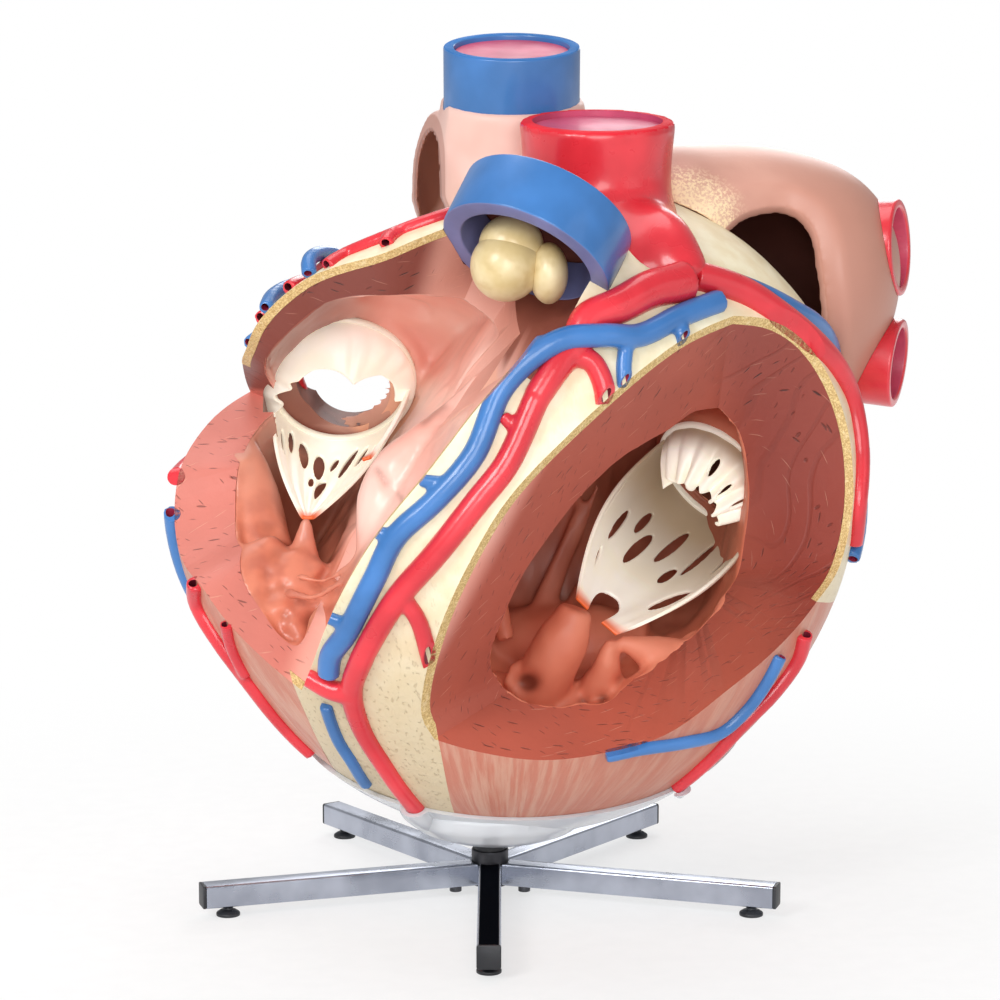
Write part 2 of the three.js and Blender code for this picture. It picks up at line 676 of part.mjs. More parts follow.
// Like loft, with each end closed by a strip from front to back
function stitched(rings, columns) {
  const positions = [];
  const count = rings[0].length;
  for (let i = 0; i + 1 < rings.length; i++) {
    for (let k = 0; k < count; k++) {
      const n = (k + 1) % count;
      const [a, b, c, d] = [rings[i][k], rings[i][n], rings[i + 1][n], rings[i + 1][k]];
      positions.push(...a, ...b, ...c, ...a, ...c, ...d);
    }
  }
  for (const [ring, last] of [[rings[0], false], [rings[rings.length - 1], true]]) {
    for (let i = 0; i < columns; i++) {
      const [a, b, c, d] = [ring[i], ring[i + 1], ring[count - 2 - i], ring[count - 1 - i]];
      if (last) positions.push(...a, ...b, ...c, ...a, ...c, ...d);
      else positions.push(...a, ...c, ...b, ...a, ...d, ...c);
    }
  }
  const geometry = new THREE.BufferGeometry();
  geometry.setAttribute("position", new THREE.Float32BufferAttribute(positions, 3));
  const made = solid(geometry);
  return made.volume() > 0 ? made : solid(flipped(geometry));
}

// A leaflet from an arc of a valve's ring to an edge given by edgeAt(s), bulging outwards
function leafletPoint({ at, axis, radius }, [from, to], edgeAt, bulge) {
  const frame = frameOf(axis);
  return (s, t) => {
    const out = frame.at(THREE.MathUtils.lerp(from, to, s));
    const root = vec(at).addScaledVector(out, radius).addScaledVector(frame.n, VALVE_RING_HEIGHT / 2);
    const swell = Math.sin(t * Math.PI) * bulge;
    return root.lerp(edgeAt(s, out, frame), t).addScaledVector(out, swell);
  };
}
const ringOf = ({ at, axis, radius }) =>
  cut(
    rod(radius + VALVE_RING_WIDTH / 2, GAP, VALVE_RING_HEIGHT, 20, at, axis),
    rod(radius - VALVE_RING_WIDTH / 2, -5, VALVE_RING_HEIGHT + 5, 20, at, axis),
  );

// A slit in a leaflet at s, from t0 to t1, widest halfway
function slit(pointAt, s, t0, t1, width) {
  const point = (a, b) => {
    const spread = (a - 0.5) * width * (0.25 + 0.75 * Math.sin(b * Math.PI));
    return pointAt(THREE.MathUtils.clamp(s + spread, 0, 1), THREE.MathUtils.lerp(t0, t1, b));
  };
  return sheet(point, 1, 2, VALVE_SHEET * 4);
}
const between = (a, b, width) => (s) => vec(a).lerp(vec(b), (s - 0.5) * width + 0.5);

// Right valve: a hood over the opening, a slit fan down to one pillar and strings to the other
const hood = leafletPoint(
  TRICUSPID,
  [-12, 205],
  (s, out, frame) => vec(TRICUSPID.at).addScaledVector(out, 52).addScaledVector(frame.n, 66),
  10,
);
const rightFan = leafletPoint(TRICUSPID, [196, 330], between([-241, -60, 513], [-229, -60, 513], 1), 12);
const sideStrings = leafletPoint(
  TRICUSPID, [322, 360], between([-166, -20, 584], [-156, -20, 586], 1), 6,
);
const tricuspid = cut(
  join(
    ringOf(TRICUSPID),
    sheet(hood, 9, 2, VALVE_SHEET),
    sheet(rightFan, 6, 3, VALVE_SHEET),
    sheet(sideStrings, 2, 2, VALVE_SHEET),
  ),
  slit(rightFan, 0.12, 0.3, 0.62, 0.07),
  slit(rightFan, 0.42, 0.38, 0.8, 0.09),
  slit(rightFan, 0.58, 0.34, 0.68, 0.09),
  slit(rightFan, 0.73, 0.36, 0.78, 0.08),
  slit(sideStrings, 0.35, 0.3, 0.8, 0.22),
);
add("right_valve", biggest(tricuspid.intersect(rightRoom)), PAINT.valve);

// Left valve: a long leaflet with two tips, one on each pillar, and a short one over it
const longLeaflet = leafletPoint(MITRAL, [136, 329], between([112, -70, 409], [163, -70, 361], 1), 18);
const shortLeaflet = leafletPoint(
  MITRAL,
  [-28, 132],
  (s, out, frame) => vec(MITRAL.at).addScaledVector(out, 40).addScaledVector(frame.n, 70 + 12 * Math.sin(s * 20)),
  8,
);
const mitral = cut(
  join(ringOf(MITRAL), sheet(longLeaflet, 7, 3, VALVE_SHEET), sheet(shortLeaflet, 7, 2, VALVE_SHEET)),
  slit(longLeaflet, 0.1, 0.35, 0.7, 0.06),
  slit(longLeaflet, 0.3, 0.6, 0.85, 0.07),
  slit(longLeaflet, 0.36, 0.32, 0.55, 0.07),
  slit(longLeaflet, 0.64, 0.32, 0.56, 0.07),
  slit(longLeaflet, 0.72, 0.6, 0.85, 0.07),
  slit(longLeaflet, 0.91, 0.35, 0.7, 0.06),
  sheet((a, b) => {
    const t = THREE.MathUtils.lerp(0.66, 1.04, b);
    return longLeaflet(0.5 + (a - 0.5) * 0.62 * b, Math.min(1, t)).addScaledVector(
      longLeaflet(0.5, 1).sub(longLeaflet(0.5, 0.9)),
      Math.max(0, t - 1) * 8,
    );
  }, 1, 2, 30),
  slit(shortLeaflet, 0.25, 0.5, 0.95, 0.09),
  slit(shortLeaflet, 0.5, 0.45, 0.9, 0.09),
  slit(shortLeaflet, 0.75, 0.5, 0.95, 0.09),
);
add("left_valve", biggest(mitral.intersect(leftRoom)), PAINT.valve);

// Lung veins and lower great vein: open stubs on the atria
const STUB_WALL = 9;
const STUB_SIDES = 15;
function stub(name, radius, length, point, axis, owner, paint) {
  const sides = STUB_SIDES;
  const body = cut(
    rod(radius, -70, length, sides, point, axis),
    rod(radius - STUB_WALL, -80, length + 5, sides, point, axis),
    owner,
  );
  const outwards = halfSpace(point, axis, -45);
  add(name, biggest(body.intersect(outwards)), paint);
}
const leftAtriumWithGap = leftAtriumOuter(GAP);
const rightAtriumWithGap = rightAtriumOuter(GAP);
const byLeftAtrium = join(leftAtriumWithGap, skinWithGap);
stub("lung_vein_upper_right", 65, 50, [505, 152, 850], [0.94, -0.34, 0.05], byLeftAtrium, PAINT.artery);
stub("lung_vein_lower_right", 60, 44, [512, 156, 700], [0.94, -0.32, -0.1], byLeftAtrium, PAINT.artery);
stub("lung_vein_upper_left", 56, 40, [235, 350, 850], [-0.45, 0.88, 0.15], byLeftAtrium, PAINT.artery);
stub("lung_vein_lower_left", 56, 40, [245, 368, 700], [-0.4, 0.9, -0.15], byLeftAtrium, PAINT.artery);
stub("lower_great_vein", 72, 60, [-10, 330, 570], [0.05, 0.62, -0.78],
  join(rightAtriumWithGap, skinWithGap), PAINT.vein);

// Vessels on the skin. Places are [longitude, latitude] with, where it lifts, its extra height.
const VEIN_PLACES = [
  [54.5, 44, 0], [42, 43.5, 0], [30.5, 41.5, 2], [20.5, 41, 15], [10.5, 40.5, 12], [-2, 34, 0], [-8.5, 21.5, 0],
  [-16, 12.5, 0], [-24, 4.5, 0], [-28.5, -4, 0], [-36, -15.5, 0], [-41, -20.5, 0], [-43.5, -25, 0],
];
const VEIN_BRANCHES = [
  [[10.5, 40.5, 12], [5, 40.5, 4], [1, 40, 0]],
  [[-2, 34, 0], [-6, 32.5, 0]],
  [[-13, 15.5, 0], [-19.5, 16, 0]],
  [[-24, 4.5, 0], [-28, 5.5, 0]],
  [[-35, -14, 0], [-39.5, -12, 0]],
];
const VEIN_STUBS = [
  [[27, 41, 4], [25.5, 37, 1], [25, 33, 0]],
  [[42, 43.5, 0], [41.5, 41, 0], [41, 38, 0]],
];
const VEIN_TIP = [[-49, -33, 0], [-50.5, -37, 0], [-52.5, -42.5, 0], [-54, -48.5, 0], [-59, -56, 0]];
const DESCENDING = [
  [[44, 49, 2], [37, 49, 2], [27, 47, 0], [18, 45, -4], [15, 41.5, -8], [10, 37.5, -3], [5, 32, 0]],
  [[5, 32, 0], [-1.5, 20, 0], [-7.5, 12.5, 0], [-16, 1.5, 0], [-23.5, -7, 0], [-28, -13, 0], [-34, -21, 0]],
  [[-34, -21, 0], [-39.5, -29, 0], [-42, -38.5, 0], [-42.5, -51.5, 0], [-46, -63, 0], [-60, -72, 0]],
];
const DESCENDING_RADII = [[26, 17], [16.5, 14], [14, 12]];
const DESCENDING_STUBS = [
  { places: [[12, 39, -2], [17.5, 38, 2], [20, 34.5, 0], [20.5, 30.5, 0]], radius: 13.5 },
  { places: [[-23.5, -7, 0], [-20.5, -13, 0], [-19, -24, 0]], radius: 11 },
  { places: [[-39.5, -29.5, 0], [-44, -28.5, 5], [-49, -25.5, 2]], radius: 12 },
  { places: [[1, 26, 0], [-2.5, 29, 0]], radius: 9 },
];
const CIRCUMFLEX = [
  [52, 49.5, 0], [62.5, 44, 0], [69, 38, 0], [75.5, 32, 0], [81, 27, 0], [85.5, 21, 0], [85, 13, 0], [82, 4, 0],
  [84, -3, 0],
];
const CIRCUMFLEX_RADII = [20, 11];
const MARGIN_ARTERY = [[70, -17.5, 0], [72.5, -23, 0], [70.5, -30, 0], [66.5, -37, 0], [66, -46, 0], [68, -56, 0]];
const SIDE_VEIN = [
  [64.5, -21.5, 0], [64.5, -28, 0], [63.5, -33.5, 0], [60, -39, 0], [50, -41.8, 0], [37.5, -44.3, 0],
  [28, -47, 0],
];
const SINUS_VEIN = [[60, 47.5, 0], [68, 43, 0], [76, 38, 0], [86, 33, 0], [98, 26, 0], [120, 14, 0], [150, 6, 0]];
const BACK_VEIN = [[160, 4, 0], [168, -8, 0], [170, -24, 0], [170, -42, 0]];
const OBTUSE_VEIN = [[85, -5.5, 0], [88, -2, 0], [93, 4, 0], [98, 12, 0]];
const RIGHT_CORONARY = [
  [-8, 77, 0], [-30, 68.5, 0], [-46, 61.5, 0], [-60, 56, 0], [-74, 51, 0], [-90, 46, 0], [-106, 38, 0],
  [-121, 27, 0], [-136, 12, 0], [-152, 0, 0], [-176, -10, 0], [-181, -26, 0], [-181, -46, 0],
];
const RIGHT_CORONARY_STUBS = [
  [[-44, 62.5, 0], [-43, 59, 2], [-41.5, 57.5, 0]],
  [[-60, 56, 0], [-58, 53, 0], [-57, 51.2, 0]],
  [[-76, 50.5, 0], [-69, 47.5, 0], [-65.5, 45.5, 0]],
  [[-90, 46, 0], [-79, 42, 0], [-73.5, 39.5, 0]],
];
// Short veins that end open at the rim of the right window, two of them over the right artery
const RIM_VEINS = [
  [[-82, 59, 0], [-72, 55, 19], [-64.5, 51, 16], [-61, 48.8, 1]],
  [[-96, 51, 0], [-85, 47.8, 19], [-76, 44, 14], [-69.5, 41, 1]],
  [[-104, 44, 14], [-97, 40, 12], [-90, 37, 2], [-85, 34.8, 0]],
];
const RIGHT_MARGIN = [[-72.5, -8, 0], [-77, -13, 0], [-75.5, -20, 0], [-74, -28, 0], [-76, -38, 0], [-78, -48, 0]];
const RIGHT_MARGIN_SIDE = [[-66, -15, 0], [-69.5, -20.5, 0], [-72.5, -27, 0]];
const RIGHT_SIDE_VEIN = [[-86, 2.5, 0], [-88, -2, 0], [-90, -12, 0], [-94, -22, 0]];
const RIGHT_SIDE_ARTERY = [[-84, 10.5, 0], [-88, 8, 0], [-96, 9, 0], [-105, 12, 0]];

const RADII = { vein: 13.5, veinBranch: 10, side: 10, sinus: 12, right: 10 };
const descendingOuter = (grow) =>
  join(
    ...DESCENDING.map((places, i) => vessel(places, DESCENDING_RADII[i], grow)),
    ...DESCENDING_STUBS.map(({ places, radius }) => vessel(places, radius, grow)),
  );
const veinOuter = (grow) =>
  join(
    vessel(VEIN_PLACES, RADII.vein, grow),
    ...[...VEIN_BRANCHES, ...VEIN_STUBS].map((places) => vessel(places, RADII.veinBranch, grow)),
  );
const aortaWithGap = aortaOuter(GAP);
const trunkWithGap = trunkOuter(GAP);
const windows = join(leftWindow, rightWindow);
const circumflexOuter = (grow) => vessel(CIRCUMFLEX, CIRCUMFLEX_RADII, grow);

const greatVein = cut(
  veinOuter(0),
  ...VEIN_STUBS.map((places) => mouth(places, RADII.veinBranch)),
  skinWithGap,
  windows,
  circumflexOuter(GAP),
);
add("great_cardiac_vein", biggest(greatVein), PAINT.vein);
const descending = cut(
  descendingOuter(0),
  ...DESCENDING_STUBS.slice(0, 3).map(({ places, radius }) => mouth(places, radius)),
  skinWithGap,
  windows,
  veinOuter(GAP),
  circumflexOuter(GAP),
  aortaWithGap,
  trunkWithGap,
);
add("front_descending_artery", biggest(descending), PAINT.artery);
const rests = [skinWithGap, leftAtriumWithGap, rightAtriumWithGap];
const laid = (places, radius, ...others) =>
  biggest(cut(vessel(places, radius), ...rests, windows, ...others));
add("circumflex_artery", laid(CIRCUMFLEX, CIRCUMFLEX_RADII, aortaWithGap), PAINT.artery);
add("front_vein_tip", laid(VEIN_TIP, 9, descendingOuter(GAP)), PAINT.vein);
add("coronary_sinus", laid(SINUS_VEIN, RADII.sinus, circumflexOuter(GAP)), PAINT.vein);
add("back_vein", laid(BACK_VEIN, RADII.side, vessel(SINUS_VEIN, RADII.sinus, GAP)), PAINT.vein);
const openAtStart = (places, radius) => mouth([...places].reverse(), radius);
add("left_margin_artery", laid(MARGIN_ARTERY, RADII.side, openAtStart(MARGIN_ARTERY, RADII.side)), PAINT.artery);
add(
  "left_side_vein",
  laid(SIDE_VEIN, RADII.side, openAtStart(SIDE_VEIN, RADII.side), vessel(MARGIN_ARTERY, RADII.side, GAP)),
  PAINT.vein,
);
add(
  "left_margin_vein",
  laid(OBTUSE_VEIN, 13, openAtStart(OBTUSE_VEIN, 13), circumflexOuter(GAP)),
  PAINT.vein,
);
const rightCoronaryOuter = (grow) =>
  join(...[RIGHT_CORONARY, ...RIGHT_CORONARY_STUBS].map((places) => vessel(places, RADII.right, grow)));
const rightCoronary = cut(
  rightCoronaryOuter(0), ...rests, windows, aortaWithGap, trunkWithGap,
  ...RIGHT_CORONARY_STUBS.map((places) => mouth(places, RADII.right)),
);
add("right_coronary_artery", biggest(rightCoronary), PAINT.artery);
RIM_VEINS.forEach((places, i) => {
  const body = laid(places, RADII.right, mouth(places, RADII.right), rightCoronaryOuter(GAP));
  add(`rim_vein_${i + 1}`, body, PAINT.vein);
});
const rightMargin = join(vessel(RIGHT_MARGIN, RADII.side), vessel(RIGHT_MARGIN_SIDE, 9));
add(
  "right_margin_artery",
  biggest(
    cut(
      rightMargin, ...rests, windows,
      openAtStart(RIGHT_MARGIN, RADII.side), openAtStart(RIGHT_MARGIN_SIDE, 9),
    ),
  ),
  PAINT.artery,
);
add(
  "right_side_artery",
  laid(RIGHT_SIDE_ARTERY, RADII.side, openAtStart(RIGHT_SIDE_ARTERY, RADII.side), vessel(RIGHT_CORONARY, RADII.right, GAP)),
  PAINT.artery,
);
add("right_side_vein", laid(RIGHT_SIDE_VEIN, 12, openAtStart(RIGHT_SIDE_VEIN, 12)), PAINT.vein);

// Clear cup under the heart, with ridges that clear the vessels
const lowVessels = (grow) =>
  join(
    vessel(DESCENDING[2], DESCENDING_RADII[2], grow),
    vessel(VEIN_TIP, 9, grow),
    vessel(RIGHT_MARGIN, RADII.side, grow),
    vessel(MARGIN_ARTERY, RADII.side, grow),
    vessel(BACK_VEIN, RADII.side, grow),
    vessel(RIGHT_CORONARY, RADII.right, grow),
  );
const cupRegion = cut(
  halfSpace([0, 0, CUP_BACK_HEIGHT], [0, 0, -1]),
  halfSpace([0, 0, CUP_SIDE_HEIGHT], [0, CUP_FRONT_SLOPE * -1, 1]),
  halfSpace([0, 0, CUP_BOTTOM], [0, 0, -1]),
);
const cupOuter = join(
  blendSolid(HEART, SKIN_DETAIL, GAP + CUP_WALL),
  lowVessels(GAP + CUP_WALL),
  turned(
    [
      [0, CUP_BOTTOM], [CUP_BOSS_RADIUS, CUP_BOTTOM], [74, CUP_BOTTOM + 8], [104, CUP_BOTTOM + 19],
      [126, CUP_BOTTOM + 36], [134, CUP_BOTTOM + 56], [0, CUP_BOTTOM + 80],
    ],
    26, [CUP_BOSS_SHIFT, 0, 0],
  ),
);
const cup = cut(
  cupOuter.intersect(cupRegion),
  skinWithGap,
  lowVessels(GAP),
  rod(PEG_RADIUS + SLIDING_GAP, 0, 200, POST_SIDES),
);
add("clear_cup", biggest(cup), PAINT.clear);

// Stand
const post = turned(
  [
    [0, HUB_BOTTOM + HUB_FLOOR + GAP], [POST_RADIUS, HUB_BOTTOM + HUB_FLOOR + GAP],
    [POST_RADIUS, POST_SHOULDER], [PEG_RADIUS, POST_SHOULDER], [PEG_RADIUS, PEG_TOP - 3],
    [PEG_RADIUS - 3, PEG_TOP], [0, PEG_TOP],
  ],
  POST_SIDES,
);
add("post", post, PAINT.black);

const legAngles = Array.from({ length: LEG_COUNT }, (_, i) => -90 + (i * 360) / LEG_COUNT);
const squareTube = (width, corner) => {
  const h = width / 2;
  const shape = new THREE.Shape();
  shape.moveTo(-h + corner, -h);
  for (const [x, y] of [[1, -1], [1, 1], [-1, 1], [-1, -1]]) {
    const before = x * y < 0;
    shape.lineTo(x * (before ? h - corner : h), y * (before ? h : h - corner));
    shape.lineTo(x * (before ? h : h - corner), y * (before ? h - corner : h));
  }
  return shape;
};
// A bar of that section along +X from one distance to another, at the legs' height
function bar(width, corner, from, to) {
  const geometry = new THREE.ExtrudeGeometry(squareTube(width, corner), { depth: to - from, bevelEnabled: false });
  geometry.rotateZ(Math.PI / 2);
  geometry.rotateY(Math.PI / 2);
  geometry.translate(from, 0, LEG_UNDERSIDE + LEG_TUBE / 2);
  return solid(geometry);
}
function block(width, from, to) {
  const geometry = new THREE.BoxGeometry(to - from, width, width);
  geometry.translate((from + to) / 2, 0, LEG_UNDERSIDE + LEG_TUBE / 2);
  return solid(geometry);
}
const at = (x, body) => body.translate([x, 0, 0]);
const INNER = LEG_TUBE - 2 * LEG_WALL;
const legHoles = join(
  at(FOOT_RADIUS, rod(FOOT_SCREW_RADIUS + SLIDING_GAP, 0, LEG_UNDERSIDE + 6, 8)),
  at(BOLT_DISTANCE, rod(BOLT_SHANK_RADIUS + GAP, 0, LEG_UNDERSIDE + 6, 8)),
);
const leg = cut(
  bar(LEG_TUBE, LEG_CORNER, 20, LEG_RADIUS),
  block(INNER, 10, LEG_RADIUS + 5),
  rod(LEG_START, 0, 100, 24),
  legHoles,
);
const spigot = block(INNER - 2 * GAP, 10, SPIGOT_END);
const boltHole = at(BOLT_DISTANCE, rod(BOLT_SHANK_RADIUS + GAP, 0, LEG_UNDERSIDE + LEG_WALL + BOLT_SHANK_LENGTH, 8));
const bolt = cut(
  join(
    rod(BOLT_HEAD_RADIUS, LEG_UNDERSIDE - GAP - BOLT_HEAD_HEIGHT, LEG_UNDERSIDE - GAP, 10),
    rod(BOLT_SHANK_RADIUS, LEG_UNDERSIDE - GAP - 1, LEG_UNDERSIDE - GAP + BOLT_SHANK_LENGTH, 8),
  ),
  rod(BOLT_SOCKET_RADIUS, 0, LEG_UNDERSIDE - GAP - BOLT_HEAD_HEIGHT + BOLT_SOCKET_DEPTH, 6),
);
const foot = join(
  turned(
    [
      [0, 0], [FOOT_DISC_RADIUS, 0], [FOOT_DISC_RADIUS, 4], [FOOT_DISC_RADIUS - 6, FOOT_DISC_HEIGHT],
      [0, FOOT_DISC_HEIGHT],
    ],
    14,
  ),
  rod(FOOT_SCREW_RADIUS, FOOT_DISC_HEIGHT - 1, FOOT_SCREW_TOP, 8),
);
const cap = cut(
  join(
    bar(LEG_TUBE, LEG_CORNER, LEG_RADIUS + GAP, LEG_RADIUS + GAP + CAP_THICKNESS),
    block(INNER - 2 * GAP, LEG_RADIUS - CAP_PLUG_LENGTH, LEG_RADIUS + GAP + 1),
  ),
  at(FOOT_RADIUS, rod(FOOT_SCREW_RADIUS + SLIDING_GAP, 0, 60, 8)),
);
const turnedTo = (body, degrees) => body.rotate([0, 0, degrees]);
const hubCore = rod(HUB_RADIUS, HUB_BOTTOM, HUB_TOP, 24);
const hubSpigots = legAngles.map((degrees) => turnedTo(cut(spigot, boltHole), degrees));
const hub = cut(
  join(hubCore, ...hubSpigots),
  rod(POST_RADIUS + SLIDING_GAP, HUB_BOTTOM + HUB_FLOOR, 100, POST_SIDES),
);
add("hub", biggest(hub), PAINT.steel);
legAngles.forEach((degrees, i) => {
  add(`leg_${i + 1}`, turnedTo(leg, degrees), PAINT.chrome);
  add(`leg_cap_${i + 1}`, turnedTo(cap, degrees), PAINT.black);
  add(`leg_bolt_${i + 1}`, turnedTo(at(BOLT_DISTANCE, bolt), degrees), PAINT.steel);
  add(`foot_${i + 1}`, turnedTo(at(FOOT_RADIUS, foot), degrees), PAINT.black);
});

export default model;
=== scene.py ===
"""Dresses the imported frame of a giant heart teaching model: paint, relief, valves, cup and stand."""

import math

import bmesh
import bpy
import numpy as np
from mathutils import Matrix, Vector, noise


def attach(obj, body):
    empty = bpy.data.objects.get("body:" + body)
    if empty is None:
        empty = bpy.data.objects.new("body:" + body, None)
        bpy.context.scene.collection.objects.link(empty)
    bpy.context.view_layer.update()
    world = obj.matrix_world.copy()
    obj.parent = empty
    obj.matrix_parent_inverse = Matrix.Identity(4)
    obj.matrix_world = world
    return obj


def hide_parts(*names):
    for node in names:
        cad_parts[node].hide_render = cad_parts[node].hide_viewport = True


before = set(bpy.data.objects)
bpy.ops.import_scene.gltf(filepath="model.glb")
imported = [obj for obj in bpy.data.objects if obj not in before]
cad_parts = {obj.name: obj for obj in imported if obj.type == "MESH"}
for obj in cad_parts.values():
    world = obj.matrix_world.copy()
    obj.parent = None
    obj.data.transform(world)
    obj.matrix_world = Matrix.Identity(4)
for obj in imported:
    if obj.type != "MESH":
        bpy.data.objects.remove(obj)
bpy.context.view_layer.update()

bl_info = {
    "name": "Giant Heart Model",
    "version": (1, 0, 0),
    "blender": (4, 5, 0),
    "location": "View3D > Sidebar > Heart",
    "description": "Models and paints a giant heart teaching model on its frame",
    "category": "Object",
}

# Places are in millimetres from the stand's axis at floor level, as in the frame's own drawing.
AXIS = np.array([-74.9, -17.9, 0.0])
REACH = 1600.0


def metres(points):
    return (np.asarray(points, float) + AXIS) / 1000.0


def unit(v):
    v = np.asarray(v, float)
    return v / np.linalg.norm(v)


def unit_rows(v):
    return v / np.linalg.norm(v, axis=1)[:, None]


def tint(red, green, blue):
    """A paint colour as it looks on a screen, turned into light values."""
    def one(c):
        c /= 255
        return c / 12.92 if c <= 0.04045 else ((c + 0.055) / 1.055) ** 2.4
    return one(red), one(green), one(blue)


# Forms


class Form:
    """Ellipsoids that flow into each other, with a centre that their reach is measured from."""

    def __init__(self, centre, softness, *lobes):
        self.centre = np.array(centre, float)
        self.softness = softness
        self.lobes = [(np.array(at, float), np.array(radii, float)) for at, radii in lobes]

    def distance(self, points):
        total = 0
        for at, radii in self.lobes:
            offset = points - at
            k0 = np.linalg.norm(offset / radii, axis=-1)
            k1 = np.linalg.norm(offset / radii**2, axis=-1)
            away = np.where(k1 > 1e-9, k0 * (k0 - 1) / np.maximum(k1, 1e-9), -radii.min())
            total = total + np.exp(np.minimum(-away / self.softness, 60))
        return -self.softness * np.log(np.maximum(total, 1e-30))

    def reach(self, directions):
        near = np.zeros(len(directions))
        far = np.full(len(directions), REACH / 2)
        for _ in range(30):
            middle = (near + far) / 2
            inside = self.distance(self.centre + directions * middle[:, None]) < 0
            near = np.where(inside, middle, near)
            far = np.where(inside, far, middle)
        return near


HEART = Form(
    [30, 0, 500], 34,
    ([115, 20, 558], [368, 320, 380]), ([-51, -10, 518], [358, 300, 288]),
    ([32, -10, 419], [352, 250, 321]), ([0, -150, 745], [165, 140, 150]),
    ([-138, -135, 668], [176, 134, 172]),
)
LEFT_CHAMBER = Form(
    [160, -20, 500], 30,
    ([235, 30, 550], [105, 185, 215]), ([165, -110, 530], [100, 120, 120]),
    ([80, -60, 430], [150, 175, 175]),
)
RIGHT_CHAMBER = Form(
    [-130, -70, 540], 30,
    ([-116, -60, 573], [217, 270, 250]), ([-109, -104, 430], [160, 100, 113]),
)
RIGHT_ATRIUM = Form(
    [-40, 200, 760], 26,
    ([-50, 205, 745], [200, 165, 250]), ([26, 160, 930], [112, 105, 108]),
    ([-28, 240, 925], [122, 112, 106]),
)
LEFT_ATRIUM = Form(
    [336, 180, 780], 26,
    ([336, 180, 780], [203, 190, 206]), ([235, 110, 860], [110, 110, 120]),
    ([445, 165, 835], [95, 120, 110]),
)
AORTA_ROOT = Form(
    [175, -60, 860], 24,
    ([138, -20, 870], [110, 114, 92]), ([192, -112, 836], [54, 80, 60]),
)

FAT_THICKNESS = 12
GAP = 0.35
SEPTUM = 55
ATRIUM_WALL = 20
PEG_HOLE = 14.3

# A window runs from an eye inside through an outline of (longitude, latitude) in degrees on the
# skin, with sharp turns at its corners. Longitude 0 faces -Y and grows to +X.
RIGHT_EYE = [-118, 20, 593]
RIGHT_WINDOW = [
    (-109.5, 23), (-100.5, 28), (-84, 33.5), (-72, 38), (-66, 42.5), (-62, 47.5), (-52.5, 51.5),
    (-39, 55.5), (-24, 62), (-5.5, 68), (14.5, 62), (15, 51), (2.5, 39.5), (-9, 29), (-18.5, 17),
    (-28, 4.5), (-37.5, -10), (-47.5, -23.5), (-54, -29.5), (-61, -21), (-67, -13.5),
    (-71, -8.5), (-79.5, -5), (-86, 2), (-89, 8.5), (-92, 11), (-96, 14), (-101, 18),
]
RIGHT_CORNERS = (0, 9, 10, 11, 18)
LEFT_EYE = [268, 60, 417]
LEFT_WINDOW = [
    (56.5, 41), (67, 37.5), (74.5, 31), (79.5, 16.5), (78, -5), (71, -11.5), (60, -23),
    (53.5, -29.5), (43, -40.5), (27.5, -46.5), (9, -49.5), (-10, -47.5), (-23, -43.5),
    (-24.5, -37), (-16.5, -15.5), (-7, 4), (0, 14.5), (18.5, 30), (40.5, 39.5),
]
LEFT_CORNERS = (0, 5, 12)
WINDOWS = {
    "right": (RIGHT_EYE, RIGHT_WINDOW, RIGHT_CORNERS),
    "left": (LEFT_EYE, LEFT_WINDOW, LEFT_CORNERS),
}

TRUNK = [44, -218, 857], [0.398, 0.49, 0.776]
TRUNK_BORE, TRUNK_RADIUS = 86, 110
AORTA_WAY = [178, 40, 700], [-0.18, -0.22, 0.96]
TRICUSPID = dict(at=[-203, 150, 673], axis=[0.05, -0.88, -0.47], radius=96, bore=60)
MITRAL = dict(at=[308, 114, 548], axis=[-0.58, -0.62, -0.53], radius=84, bore=62)


def bearing(longitude, latitude):
    a, b = math.radians(longitude), math.radians(latitude)
    return np.array([math.sin(a) * math.cos(b), -math.cos(a) * math.cos(b), math.sin(b)])


def on_skin(place):
    """The point of the skin at a longitude and latitude, raised by a third number."""
    direction = bearing(place[0], place[1])
    height = place[2] if len(place) > 2 else 0
    return HEART.centre + direction * (HEART.reach(direction[None])[0] + height)


def curve_through(points, step, closed=False):
    """Points along a smooth curve through the given ones, about a step apart."""
    points = [np.asarray(p, float) for p in points]
    count = len(points)
    made = []
    for i in range(count if closed else count - 1):
        if closed:
            a, b, c, d = (points[(i + k) % count] for k in (-1, 0, 1, 2))
        else:
            b, c = points[i], points[i + 1]
            a = points[i - 1] if i else 2 * b - c
            d = points[i + 2] if i + 2 < count else 2 * c - b
        t0, t1, t2 = (max(np.linalg.norm(q - p) ** 0.5, 1e-3) for p, q in ((a, b), (b, c), (c, d)))
        first = ((b - a) / t0 - (c - a) / (t0 + t1) + (c - b) / t1) * t1
        last = ((c - b) / t1 - (d - b) / (t1 + t2) + (d - c) / t2) * t1
        parts = max(1, int(round(np.linalg.norm(c - b) / step)))
        for k in range(parts):
            t = k / parts
            made.append(
                (2 * t**3 - 3 * t**2 + 1) * b + (t**3 - 2 * t**2 + t) * first
                + (3 * t**2 - 2 * t**3) * c + (t**3 - t**2) * last
            )
    if not closed:
        made.append(points[-1])
    return np.array(made)


def route(places, radii, step=7):
    """A vessel's middle line, a fifth of its radius over the skin."""
    widest = max(radii)
    knots = [on_skin(place) for place in places]
    lifts = [(place[2] if len(place) > 2 else 0) + widest * 0.2 for place in places]
    line = curve_through([(*k, lift) for k, lift in zip(knots, lifts)], step)
    directions = unit_rows(line[:, :3] - HEART.centre)
    return HEART.centre + directions * (HEART.reach(directions) + line[:, 3])[:, None]


def turn_to(axis):
    return Vector((0, 0, 1)).rotation_difference(Vector(unit(axis))).to_matrix()


# Mesh work


